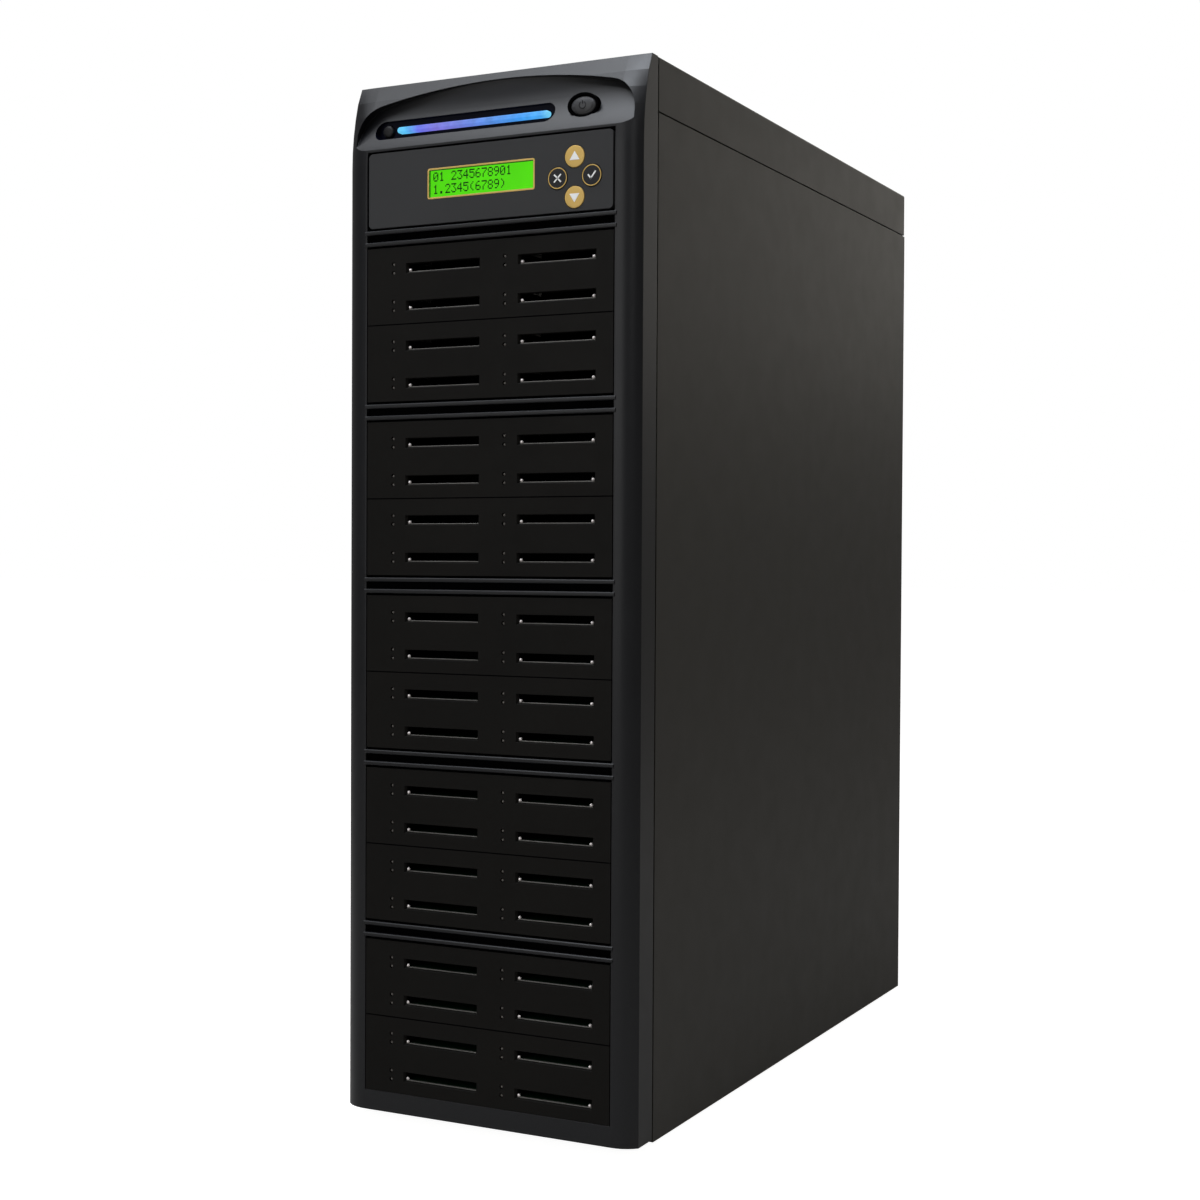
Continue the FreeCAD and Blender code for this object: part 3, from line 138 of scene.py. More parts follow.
def mix(tree, share, first, second):
    """A colour between two, each given as a value or as a socket."""
    node = add(tree, "ShaderNodeMix", data_type="RGBA")
    tree.links.new(share, node.inputs["Factor"])
    for socket, value in ((node.inputs[6], first), (node.inputs[7], second)):
        if isinstance(value, tuple):
            socket.default_value = (*value, 1.0)
        else:
            tree.links.new(value, socket)
    return node.outputs[2]


def surface(
    name,
    colour,
    roughness,
    grain,
    bump,
    mottle=0.18,
    metal=0.0,
    edge=0.35,
    wear_and_shade=0.25,
    wear_and_shade_tone=2.2,
    spread=0.08,
    specular=0.5,
):
    """A solid finish with uneven tone and gloss, a fine grain, softened edges (mm) and marks at the edges: a
    little edge wear where they lighten, painted shade where the tone is below 1 and they darken.
    """
    material, tree, shader = new_material(name)
    where = add(tree, "ShaderNodeTexCoord").outputs["Object"]
    dark = tuple(c * (1 - mottle) for c in colour)
    light = tuple(min(1.0, c * (1 + mottle)) for c in colour)
    tone = mix(tree, patches(tree, where, TONE_SCALE, 0.0, 1.0, TONE_DETAIL), dark, light)
    bevel = add(tree, "ShaderNodeBevel", samples=BEVEL_SAMPLES)
    bevel.inputs["Radius"].default_value = edge * MM
    flat = add(tree, "ShaderNodeNewGeometry").outputs["Normal"]
    turn = add(tree, "ShaderNodeVectorMath", operation="DOT_PRODUCT")
    tree.links.new(bevel.outputs["Normal"], turn.inputs[0])
    tree.links.new(flat, turn.inputs[1])
    wear_and_shade_share = ramp(tree, turn.outputs["Value"], WEAR_AND_SHADE_START, WEAR_AND_SHADE_FULL, 0.0, wear_and_shade)
    wear_and_shade_colour = tuple(min(1.0, c * wear_and_shade_tone) for c in colour)
    tree.links.new(mix(tree, wear_and_shade_share, tone, wear_and_shade_colour), shader.inputs["Base Color"])
    gloss = patches(tree, where, GLOSS_SCALE, roughness - spread, roughness + spread)
    tree.links.new(gloss, shader.inputs["Roughness"])
    relief = add(tree, "ShaderNodeBump")
    relief.inputs["Strength"].default_value = bump
    relief.inputs["Distance"].default_value = GRAIN_HEIGHT
    tree.links.new(noise(tree, where, grain, GRAIN_DETAIL), relief.inputs["Height"])
    tree.links.new(bevel.outputs["Normal"], relief.inputs["Normal"])
    tree.links.new(relief.outputs["Normal"], shader.inputs["Normal"])
    shader.inputs["Metallic"].default_value = metal
    shader.inputs["Specular IOR Level"].default_value = specular
    return material


def light_guide():
    """The lit bar: cyan at both ends, violet left of the middle and azure to the right."""
    material, tree, shader = new_material("light_guide")
    low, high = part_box("light_bar")
    where = add(tree, "ShaderNodeTexCoord").outputs["Object"]
    split = add(tree, "ShaderNodeSeparateXYZ")
    tree.links.new(where, split.inputs[0])
    along = ramp(tree, split.outputs["X"], low.x, high.x, 0.0, 1.0)
    left_end = (0.16, 0.66, 0.95)
    cyan = (0.1, 0.52, 0.93)
    indigo = (0.14, 0.16, 0.78)
    violet = (0.2, 0.17, 0.66)
    pale_violet = (0.15, 0.19, 0.64)
    blue = (0.1, 0.25, 0.7)
    azure = (0.05, 0.31, 0.82)
    bright_azure = (0.07, 0.4, 0.88)
    right_end = (0.18, 0.64, 0.93)
    colours = (left_end, cyan, indigo, violet, pale_violet, blue, azure, bright_azure, right_end)
    places = (0.0, 0.06, 0.14, 0.26, 0.42, 0.6, 0.82, 0.95, 1.0)
    scale = add(tree, "ShaderNodeValToRGB")
    elements = scale.color_ramp.elements
    for place in places[1:-1]:
        elements.new(place)
    for element, place, colour in zip(elements, places, colours):
        element.position = place
        element.color = (*colour, 1.0)
    tree.links.new(along, scale.inputs["Fac"])
    tree.links.new(scale.outputs["Color"], shader.inputs["Emission Color"])
    tree.links.new(patches(tree, where, GLOW_SCALE, *GLOW_RANGE), shader.inputs["Emission Strength"])
    shader.inputs["Base Color"].default_value = (0.02, 0.04, 0.08, 1.0)
    shader.inputs["Roughness"].default_value = 0.3
    shader.inputs["Specular IOR Level"].default_value = 0.2
    return material


def lit_display():
    """Backlit display glass: bright yellow-green, a little uneven."""
    material, tree, shader = new_material("lit_display")
    where = add(tree, "ShaderNodeTexCoord").outputs["Object"]
    dim = (0.07, 0.66, 0.002)
    bright = (0.085, 0.75, 0.003)
    tone = mix(tree, patches(tree, where, BACKLIGHT_SCALE, 0.0, 1.0), dim, bright)
    tree.links.new(tone, shader.inputs["Emission Color"])
    shader.inputs["Base Color"].default_value = (0.02, 0.1, 0.002, 1.0)
    shader.inputs["Emission Strength"].default_value = 0.92
    shader.inputs["Roughness"].default_value = 0.5
    shader.inputs["Specular IOR Level"].default_value = 0.0
    return material


def clear_window():
    """A clear lens: see-through, with a faintly reflecting face."""
    material, tree, _ = new_material("clear_window")
    where = add(tree, "ShaderNodeTexCoord").outputs["Object"]
    clear = add(tree, "ShaderNodeBsdfTransparent")
    gloss = add(tree, "ShaderNodeBsdfGlossy")
    tree.links.new(patches(tree, where, SMEAR_SCALE, *SMEAR_RANGE), gloss.inputs["Roughness"])
    facing = add(tree, "ShaderNodeFresnel")
    facing.inputs["IOR"].default_value = 1.12
    blend = add(tree, "ShaderNodeMixShader")
    tree.links.new(facing.outputs[0], blend.inputs[0])
    tree.links.new(clear.outputs[0], blend.inputs[1])
    tree.links.new(gloss.outputs[0], blend.inputs[2])
    tree.links.new(blend.outputs[0], tree.nodes["Material Output"].inputs["Surface"])
    return material


# Faintly blue painted shade inside the trough round the light bar: the gaps from the bar to its ends, and its
# half height
TROUGH_LEFT_GAP = 12.7 * MM
TROUGH_RIGHT_GAP = 4.4 * MM
TROUGH_RADIUS = 5.35 * MM
TROUGH_SHADE_LAP = 0.05 * MM
TROUGH_SHADE_FADE = 0.05 * MM
TROUGH_SHADE_COLOUR = (0.002, 0.0025, 0.008)
TROUGH_SHADE_SPECULAR = 0.05


def paint_trough_shade(material):
    """Paints shade into a finish inside the round-ended trough, told by the distance from its centre line,
    and takes away most of its reflection there.
    """
    tree = material.node_tree
    shader = tree.nodes["Principled BSDF"]
    low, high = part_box("light_bar")
    split = add(tree, "ShaderNodeSeparateXYZ")
    tree.links.new(add(tree, "ShaderNodeTexCoord").outputs["Object"], split.inputs[0])
    along = add(tree, "ShaderNodeClamp")
    along.inputs["Min"].default_value = low.x - TROUGH_LEFT_GAP + TROUGH_RADIUS
    along.inputs["Max"].default_value = high.x + TROUGH_RIGHT_GAP - TROUGH_RADIUS
    tree.links.new(split.outputs["X"], along.inputs["Value"])
    here = add(tree, "ShaderNodeCombineXYZ")
    tree.links.new(split.outputs["X"], here.inputs["X"])
    tree.links.new(split.outputs["Z"], here.inputs["Z"])
    nearest = add(tree, "ShaderNodeCombineXYZ", Z=(low.z + high.z) / 2)
    tree.links.new(along.outputs["Result"], nearest.inputs["X"])
    away = add(tree, "ShaderNodeVectorMath", operation="DISTANCE")
    tree.links.new(here.outputs["Vector"], away.inputs[0])
    tree.links.new(nearest.outputs["Vector"], away.inputs[1])
    shade_edge = TROUGH_RADIUS + TROUGH_SHADE_LAP
    shade_share = ramp(tree, away.outputs["Value"], shade_edge + TROUGH_SHADE_FADE, shade_edge, 0.0, 1.0)
    colour = shader.inputs["Base Color"]
    plain = colour.links[0].from_socket
    tree.links.new(mix(tree, shade_share, plain, TROUGH_SHADE_COLOUR), colour)
    specular = shader.inputs["Specular IOR Level"]
    tree.links.new(ramp(tree, shade_share, 0.0, 1.0, specular.default_value, TROUGH_SHADE_SPECULAR), specular)


# Housing
BEZEL = surface(
    "bezel_plastic",
    colour=(0.0035, 0.0037, 0.0048),
    roughness=0.36,
    grain=1400.0,
    bump=0.02,
    mottle=0.05,
    edge=0.4,
    wear_and_shade=0.0,
    spread=0.02,
    specular=0.3,
)
# Painted shade inside the bezel's trough
paint_trough_shade(BEZEL)
# The faceplates' edges darken to a fifth of their colour: painted shade along the gaps between the plates
PLATE = surface(
    "faceplate_plastic",
    colour=(0.0038, 0.0033, 0.0026),
    roughness=0.55,
    grain=1100.0,
    bump=0.16,
    wear_and_shade=0.9,
    wear_and_shade_tone=0.2,
    specular=0.1,
)
PANEL = surface(
    "panel_plastic",
    colour=(0.036, 0.036, 0.0365),
    roughness=0.6,
    grain=1100.0,
    bump=0.1,
    mottle=0.04,
    wear_and_shade=0.12,
    specular=0.1,
)
CASE = surface(
    "case_paint",
    colour=(0.0172, 0.0155, 0.0122),
    roughness=0.5,
    grain=1500.0,
    bump=0.2,
    mottle=0.03,
    edge=0.5,
    wear_and_shade=0.0,
    spread=0.02,
    specular=0.3,
)
RUBBER = surface("rubber", (0.014, 0.014, 0.014), 0.75, grain=500.0, bump=0.2, specular=0.2)
ZINC = surface("zinc_steel", (0.5, 0.51, 0.52), 0.36, grain=400.0, bump=0.05, metal=1.0, mottle=0.1)

# Buttons, keys and prints
# The power cap's plastic is lighter than the bezel: painted light on the cap's face
CAP_LIT = surface(
    "cap_plastic_painted_light", (0.045, 0.0455, 0.048), 0.4, grain=1400.0, bump=0.04, edge=0.2, wear_and_shade=0.05, specular=0.3
)
KEY_BLACK = surface(
    "black_key", (0.022, 0.022, 0.023), 0.5, grain=1100.0, bump=0.1, mottle=0.1, wear_and_shade=0.1, specular=0.1
)
GOLD = surface(
    "gold_print",
    colour=(0.55, 0.36, 0.1),
    roughness=0.45,
    grain=700.0,
    bump=0.04,
    mottle=0.06,
    metal=0.2,
    wear_and_shade=0.05,
    specular=0.3,
)
WHITE = surface("white_print", (0.8, 0.8, 0.78), 0.5, grain=700.0, bump=0.03, mottle=0.04, wear_and_shade=0.0)
INK = surface(
    "display_ink", (0.001, 0.03, 0.001), 0.6, grain=700.0, bump=0.02, mottle=0.1, wear_and_shade=0.0, specular=0.0
)

# In the slots and behind them
# A light grey strip on each slot floor: painted highlight of the slot's lower edge
LIP_HIGHLIGHT = surface("lip_painted_highlight", (0.14, 0.135, 0.125), 0.4, grain=400.0, bump=0.05, metal=0.3, mottle=0.2, wear_and_shade=0.1)
# Near-white dots at the slot ends: painted glints
GLINT = surface("painted_glint", (0.8, 0.74, 0.72), 0.35, grain=400.0, bump=0.03, metal=0.3, mottle=0.06, wear_and_shade=0.0)
LENS = surface("indicator_lens", (0.11, 0.1, 0.09), 0.25, grain=300.0, bump=0.02, wear_and_shade=0.0)
# Darker than the other black plastic and without reflection: painted shade inside the card slots
GUIDE_SHADED = surface("guide_plastic_painted_shade", (0.004, 0.004, 0.004), 0.6, grain=400.0, bump=0.05, specular=0.0)
# Pure black without reflection: painted shade in gaps, grooves, seams and the power button's well
SHADE_BLACK = surface("painted_shade_black", (0.0015, 0.0015, 0.0017), 0.7, grain=900.0, bump=0.1, wear_and_shade=0.0, specular=0.0)
# Steel darkened to near black: painted shade inside the bays
INNER_SHADED = surface(
    "inner_steel_painted_shade", (0.012, 0.012, 0.0125), 0.6, grain=400.0, bump=0.05, metal=0.3, mottle=0.1, specular=0.1
)
BOARD = surface("circuit_board", (0.004, 0.02, 0.009), 0.5, grain=300.0, bump=0.05, specular=0.1)
MOULDED = surface("black_plastic", (0.01, 0.01, 0.0105), 0.45, grain=900.0, bump=0.1, specular=0.2)
PIN = surface("pin_metal", (0.72, 0.66, 0.5), 0.25, grain=500.0, bump=0.03, metal=1.0)
LOOM = surface("loom", (0.12, 0.12, 0.13), 0.6, grain=300.0, bump=0.1)

SLOT_MATERIALS = {
    "bezel_plastic": BEZEL,
    "faceplate_plastic": PLATE,
    "panel_plastic": PANEL,
    "case_paint": CASE,
    "zinc_steel": ZINC,
    "circuit_board": BOARD,
    "black_plastic": MOULDED,
    "light_guide": light_guide(),
    "window": clear_window(),
    "display": lit_display(),
    "gold_key": GOLD,
    "black_key": KEY_BLACK,
    "rubber": RUBBER,
    "pin_metal": PIN,
    "loom": LOOM,
}


def dress(obj, material):
    """Gives an object one material."""
    obj.data.materials.clear()
    obj.data.materials.append(material)


for part in RECORD["subparts"]:
    dress(NODES[part["node"]], SLOT_MATERIALS[part["material_slot"]])
# The card guides and pin blocks take the darkened guide plastic: painted shade inside the slots
for name in ("card_guides", "card_headers"):
    dress(NODES[name], GUIDE_SHADED)
# The bay walls and frames take the darkened steel: painted shade inside the case
for name in ("bay_wall_left", "bay_wall_right", "card_frames", "controller_frame"):
    dress(NODES[name], INNER_SHADED)


# Building added pieces


class Shape:
    """Points and faces of one piece. Outlines are lists of (x, z), counter-clockwise seen from the front."""

    def __init__(self):
        self.points = []
        self.faces = []

    def box(self, low, high):
        start = len(self.points)
        for x in (low[0], high[0]):
            for y in (low[1], high[1]):
                for z in (low[2], high[2]):
                    self.points.append((x, y, z))
        for face in ((0, 1, 3, 2), (4, 6, 7, 5), (0, 4, 5, 1), (2, 3, 7, 6), (0, 2, 6, 4), (1, 5, 7, 3)):
            self.faces.append([start + n for n in face])

    def stack(self, loops, ring=False):
        """A form through loops, each an outline at a depth: closed at its two ends, or round to a ring."""
        count = len(loops[0][0])
        starts = [len(self.points) + n * count for n in range(len(loops))]
        for outline, y in loops:
            self.points += [(x, y, z) for x, z in outline]
        pairs = list(zip(starts, starts[1:]))
        if ring:
            pairs.append((starts[-1], starts[0]))
        else:
            self.faces.append([starts[0] + n for n in range(count)])
            self.faces.append([starts[-1] + n for n in reversed(range(count))])
        for here, there in pairs:
            for n in range(count):
                after = (n + 1) % count
                self.faces.append([here + n, there + n, there + after, here + after])

    def slab(self, outline, front, back):
        """A flat form with one outline."""
        self.stack([(outline, front), (outline, back)])

    def band(self, inner, outer, front, back):
        """A flat ring between two outlines."""
        self.stack([(inner, front), (outer, front), (outer, back), (inner, back)], ring=True)

    def dome(self, x, z, base, radius, height, rings=3, count=12):
        """A round cap that stands out towards the front, open at its base."""
        start = len(self.points)
        for ring in range(rings):
            turn = ring / rings * math.pi / 2
            y = base - height * math.sin(turn)
            self.points += [(a, y, b) for a, b in circle(x, z, radius * math.cos(turn), count)]
        self.points.append((x, base - height, z))
        for ring in range(rings):
            low = start + ring * count
            for n in range(count):
                after = (n + 1) % count
                if ring < rings - 1:
                    self.faces.append([low + n, low + after, low + count + after, low + count + n])
                else:
                    self.faces.append([low + n, low + after, low + count])

    def tube(self, path, radius, closed=False, sides=10):
        """A round wire along a path that lies across Y."""
        start = len(self.points)
        count = len(path)
        for n, place in enumerate(path):
            before = path[n - 1] if closed or n else place
            after = path[(n + 1) % count] if closed or n < count - 1 else place
            along = (Vector(after) - Vector(before)).normalized()
            side = along.cross(Vector((0, 1, 0))).normalized()
            up = side.cross(along)
            for a, b in circle(0.0, 0.0, radius, sides):
                self.points.append(tuple(Vector(place) + a * side + b * up))
        for n in range(count if closed else count - 1):
            here = start + n * sides
            there = start + (n + 1) % count * sides
            for k in range(sides):
                after = (k + 1) % sides
                self.faces.append([here + k, there + k, there + after, here + after])
        if not closed:
            last = start + (count - 1) * sides
            self.faces.append([start + k for k in range(sides)])
            self.faces.append([last + k for k in reversed(range(sides))])

    def join(self, other, place):
        """Another shape, with each of its points taken to its place."""
        start = len(self.points)
        self.points += [place(*point) for point in other.points]
        self.faces += [[start + n for n in face] for face in other.faces]

    def make(self, name, material, body):
        """The piece itself, riding on a body."""
        mesh = bpy.data.meshes.new(name)
        mesh.from_pydata(self.points, [], self.faces)
        mesh.validate()
        mesh.update()
        obj = bpy.data.objects.new(name, mesh)
        bpy.context.scene.collection.objects.link(obj)
        dress(obj, material)
        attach(obj, body)
        return obj


def smooth(obj, angle=40.0):
    """Smooth shading that keeps the edges sharper than the angle."""
    obj.data.shade_smooth()
    obj.data.set_sharp_from_angle(angle=math.radians(angle))
    return obj


def oval(x, z, wide, tall, count):
    """An oval's outline, from its half sizes."""
    turns = [2 * math.pi * n / count for n in range(count)]
    return [(x + wide * math.cos(turn), z + tall * math.sin(turn)) for turn in turns]


def circle(x, z, radius, count=48):
    return oval(x, z, radius, radius, count)


def rounded(x, z, width, height, radius, count=8):
    """A rectangle's outline with round corners."""
    points = []
    for side, up, start in ((1, 1, 0), (-1, 1, 90), (-1, -1, 180), (1, -1, 270)):
        cx = x + side * (width / 2 - radius)
        cz = z + up * (height / 2 - radius)
        for n in range(count + 1):
            angle = math.radians(start + 90 * n / count)
            points.append((cx + radius * math.cos(angle), cz + radius * math.sin(angle)))
    return points


# Prints stand a little proud of their faces and reach a little into them
PRINT = 0.06 * MM
SINK = 0.01 * MM


# Gold line round the display window
LINE_INSIDE = 0.7 * MM
LINE_OUTSIDE = 0.2 * MM
LINE_INNER_CORNER = 0.5 * MM
LINE_OUTER_CORNER = 1.2 * MM
window_x, window_z = middle((WINDOW_LOW, WINDOW_HIGH))
window_width = WINDOW_HIGH.x - WINDOW_LOW.x
window_height = WINDOW_HIGH.z - WINDOW_LOW.z


def window_line(margin, corner):
    return rounded(window_x, window_z, window_width + 2 * margin, window_height + 2 * margin, corner)


border = Shape()
border.band(
    window_line(-LINE_INSIDE, LINE_INNER_CORNER),
    window_line(LINE_OUTSIDE, LINE_OUTER_CORNER),
    FACE - PRINT,
    FACE + SINK,
)
border.make("window_border", GOLD, "case")


# Dot-matrix figures on the display
GLYPHS = {
    "0": "-###- #---# #--## #-#-# ##--# #---# -###-",
    "1": "--#-- -##-- --#-- --#-- --#-- --#-- -###-",
    "2": "-###- #---# ----# ---#- --#-- -#--- #####",
    "3": "##### ---#- --#-- ---#- ----# #---# -###-",
    "4": "---#- --##- -#-#- #--#- ##### ---#- ---#-",
    "5": "##### #---- ####- ----# ----# #---# -###-",
    "6": "--##- -#--- #---- ####- #---# #---# -###-",
    "7": "##### ----# ---#- --#-- -#--- -#--- -#---",
    "8": "-###- #---# #---# -###- #---# #---# -###-",
    "9": "-###- #---# #---# -#### ----# ---#- -##--",
    ".": "----- ----- ----- ----- ----- -##-- -##--",
    "(": "---#- --#-- -#--- -#--- -#--- --#-- ---#-",
    ")": "-#--- --#-- ---#- ---#- ---#- --#-- -#---",
    " ": "----- ----- ----- ----- ----- ----- -----",
}
DISPLAY_LINES = ("01 2345678901", "1.2345(6789)")
DOT_PITCH = 0.62 * MM
DOT_SIZE = 0.6 * MM
DOT_STRETCH = 1.12
LETTER_PITCH = 3.7 * MM
LINE_PITCH = 6.6 * MM
TEXT_HALF_WIDTH = 29.6 * MM
TEXT_HALF_HEIGHT = 6.1 * MM
TEXT_LEFT = window_x - TEXT_HALF_WIDTH
TEXT_TOP = window_z + TEXT_HALF_HEIGHT
INK_PROUD = 0.05 * MM
figures = Shape()
for line, text in enumerate(DISPLAY_LINES):
    for column, letter in enumerate(text):
        for down, dots in enumerate(GLYPHS[letter].split()):
            for across, dot in enumerate(dots):
                if dot == "#":
                    x = TEXT_LEFT + column * LETTER_PITCH + across * DOT_PITCH
                    z = TEXT_TOP - line * LINE_PITCH - down * DOT_PITCH * DOT_STRETCH
                    low = (x, DISPLAY_FRONT - INK_PROUD, z - DOT_SIZE * DOT_STRETCH)
                    figures.box(low, (x + DOT_SIZE, DISPLAY_FRONT + SINK, z))
figures.make("display_figures", INK, "case")


# Key signs: arrows on the gold keys, a cross and a tick inside gold rings on the black ones
ARROW = 2.9 * MM
ARROW_BASE = 0.62 * ARROW
ARROW_TIP = 0.95 * ARROW
RING_INNER = 4.95 * MM
RING_OUTER = 5.45 * MM
SIGN_ARM = 1.7 * MM
SIGN_LINE = 0.8 * MM
# Strokes of the signs, from place to place in arms from the middle
TICK_HEEL = (-0.3, -0.9)
KEY_SIGNS = {
    "key_escape": (((-1.0, -1.0), (1.0, 1.0)), ((-1.0, 1.0), (1.0, -1.0))),
    "key_confirm": (((-1.1, 0.1), TICK_HEEL), (TICK_HEEL, (1.2, 1.0))),
}


def stroke(shape, start, end, front):
    """A straight printed line between two places."""
    a = Vector(start)
    b = Vector(end)
    side = (b - a).normalized() * SIGN_LINE / 2
    across = Vector((-side.y, side.x))
    outline = [a - side - across, b + side - across, b + side + across, a - side + across]
    shape.slab([tuple(p) for p in outline], front - PRINT, front + SINK)


for key, up in (("key_up", 1), ("key_down", -1)):
    x, z = middle(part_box(key))
    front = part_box(key)[0].y
    base = z - up * ARROW_BASE
    arrow = Shape()
    corners = [(x - up * ARROW, base), (x + up * ARROW, base), (x, z + up * ARROW_TIP)]
    arrow.slab(corners, front - PRINT, front + SINK)
    arrow.make(key + "_arrow", WHITE, key)

for key, strokes in KEY_SIGNS.items():
    x, z = middle(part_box(key))
    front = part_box(key)[0].y
    ring = Shape()
    ring.band(circle(x, z, RING_INNER), circle(x, z, RING_OUTER), front - PRINT, front + SINK)
    ring.make(key + "_ring", GOLD, key)
    sign = Shape()
    for line in strokes:
        start, end = ((x + across * SIGN_ARM, z + up * SIGN_ARM) for across, up in line)
        stroke(sign, start, end, front)
    sign.make(key + "_sign", WHITE, key)


# Card slots: indicator lenses, light strips on the slot floors as painted highlights, bright dots at the slot
# ends as painted glints, and dark shrouds over the pin blocks as painted shade
CARD_BAYS = 10
PLATE_GAP = 0.15 * MM
SLOT_COLUMNS = (-27.0 * MM, 41.4 * MM)
SLOT_ROWS = (9.8 * MM, 29.8 * MM)
SLOT_HALF = 21.8 * MM
SLOT_FLOOR = 2.3 * MM
LENS_OFFSET = 30.6 * MM
LENS_SPACING = 4.6 * MM
LENS_BASE = FACE + 1.2 * MM
LENS_RADIUS = 0.92 * MM
LENS_RISE = 0.9 * MM
LIP_DEPTHS = (FACE + 1.35 * MM, FACE + 2.95 * MM)
LIP_HEIGHTS = (0.02 * MM, 0.45 * MM)
LIP_CLEARANCE = 0.05 * MM
LIP_HALF = SLOT_HALF - LIP_CLEARANCE
GLINT_INSET = 1.0 * MM
GLINT_HEIGHT = 1.2 * MM
GLINT_BASE = FACE + 1.6 * MM
GLINT_RADIUS = 0.9 * MM
SHROUD_LAP = 2.2 * MM
SHROUD_HALF = SLOT_HALF + SHROUD_LAP
SHROUD_HEIGHTS = (5.9 * MM, 14.0 * MM)
SHROUD_THICKNESS = 2.0 * MM


def faceplate(number):
    """A card faceplate's box. They are counted from the top, so the upper one of each pair is odd."""
    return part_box(f"card_faceplate_{number:02d}")


lenses = Shape()
lip_highlights = Shape()
glints = Shape()
shade_shrouds = Shape()
for number in range(1, CARD_BAYS + 1):
    bay = faceplate(number)[0].z - PLATE_GAP
    for x in SLOT_COLUMNS:
        for row in SLOT_ROWS:
            for side in (-1, 1):
                lens_z = bay + row + side * LENS_SPACING / 2
                lenses.dome(x - LENS_OFFSET, lens_z, LENS_BASE, LENS_RADIUS, LENS_RISE)
            floor = bay + row - SLOT_FLOOR
            lip_highlights.box(
                (x - LIP_HALF, LIP_DEPTHS[0], floor + LIP_HEIGHTS[0]),
                (x + LIP_HALF, LIP_DEPTHS[1], floor + LIP_HEIGHTS[1]),
            )
            shade_shrouds.box(
                (x - SHROUD_HALF, PIN_BLOCK_FRONT, floor + SHROUD_HEIGHTS[0]),
                (x + SHROUD_HALF, PIN_BLOCK_FRONT + SHROUD_THICKNESS, floor + SHROUD_HEIGHTS[1]),
            )
            # Painted glints at the slot ends
            # The photo shows both ends of the right slots, and only the left end of the left ones
            for end in (-1, 1) if x > 0 else (-1,):
                glint_x = x + end * (SLOT_HALF - GLINT_INSET)
                glints.dome(glint_x, floor + GLINT_HEIGHT, GLINT_BASE, GLINT_RADIUS, GLINT_RADIUS)
smooth(lenses.make("indicator_lenses", LENS, "case"))
lip_highlights.make("slot_lip_highlights", LIP_HIGHLIGHT, "case")
smooth(glints.make("slot_glints", GLINT, "case"))
shade_shrouds.make("header_shade_shrouds", GUIDE_SHADED, "case")


# Black strips of painted shade on the recessed faces of the rails, lapping over the gaps to the faceplates
# next to them, and a strip of painted shade on the seam between the two faceplates of a pair
RAIL_ROOT = FACE + 2.6 * MM
RAIL_HEIGHT = 10.6 * MM
RIB_INSET = 1.1 * MM
RIB_HEIGHT = 2.2 * MM
RAIL_SHADE_LAP = 0.3 * MM
RAIL_GROOVES = (
    (-RAIL_SHADE_LAP, RIB_INSET),
    (RIB_INSET + RIB_HEIGHT, RAIL_HEIGHT - RIB_INSET - RIB_HEIGHT),
    (RAIL_HEIGHT - RIB_INSET, RAIL_HEIGHT + RAIL_SHADE_LAP),
)
OPENING_HALF = 74.5 * MM
RAIL_SHADE_PROUD = 0.08 * MM
RAIL_SHADE_SINK = 0.02 * MM
SEAM_PROUD = 0.03 * MM
SEAM_DEPTH = 1.0 * MM
SEAM_HALF = 0.3 * MM
rail_shades = Shape()
seam_shades = Shape()
for upper in range(1, CARD_BAYS, 2):
    rail = faceplate(upper)[1].z + PLATE_GAP
    for low, high in RAIL_GROOVES:
        rail_shades.box(
            (-OPENING_HALF, RAIL_ROOT - RAIL_SHADE_PROUD, rail + low),
            (OPENING_HALF, RAIL_ROOT + RAIL_SHADE_SINK, rail + high),
        )
    seam = faceplate(upper + 1)[1].z + PLATE_GAP
    seam_shades.box(
        (PLATE_LOW.x, FACE - SEAM_PROUD, seam - SEAM_HALF),
        (PLATE_HIGH.x, FACE + SEAM_DEPTH, seam + SEAM_HALF),
    )
rail_shades.make("rail_painted_shade", SHADE_BLACK, "case")
seam_shades.make("bay_seam_shades", SHADE_BLACK, "case")


# Black blocks in the gaps above and below the control panel: painted shade in the gaps
GAP_SHADE_DEPTHS = (FACE + 1.6 * MM, FACE + 2.9 * MM)
GAP_SHADE_ABOVE = 1.4 * MM
GAP_SHADE_BELOW = 0.8 * MM
GAP_SHADE_LAP = 0.02 * MM
gap_shades = Shape()
for low, high in (
    (PANEL_HIGH.z - GAP_SHADE_LAP, PANEL_HIGH.z + GAP_SHADE_ABOVE),
    (PANEL_LOW.z - GAP_SHADE_BELOW, PANEL_LOW.z + GAP_SHADE_LAP),
):
    gap_shades.box((-OPENING_HALF, GAP_SHADE_DEPTHS[0], low), (OPENING_HALF, GAP_SHADE_DEPTHS[1], high))
gap_shades.make("panel_gap_shades", SHADE_BLACK, "case")


# Black strips on the folded top edges of the side panels, behind the seam under the top cover: painted shade
# in the seam
STRIP_INSET = 1.05 * MM
STRIP_OUTER = COVER_HIGH.x - STRIP_INSET
STRIP_THICKNESS = 1.5 * MM
STRIP_FRONT_GAP = 0.5 * MM
STRIP_REAR_GAP = 1.5 * MM
STRIP_LAP = 2.0 * MM
top_seam_shades = Shape()
for name, side in (("left_side_panel", -1), ("right_side_panel", 1)):
    panel_low, panel_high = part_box(name)
    left, right = sorted((side * STRIP_OUTER, side * (STRIP_OUTER - STRIP_THICKNESS)))
    top_seam_shades.box(
        (left, panel_low.y + STRIP_FRONT_GAP, panel_high.z),
        (right, COVER_HIGH.y - STRIP_REAR_GAP, COVER_LOW.z + STRIP_LAP),
    )
top_seam_shades.make("seam_shade_strips", SHADE_BLACK, "case")


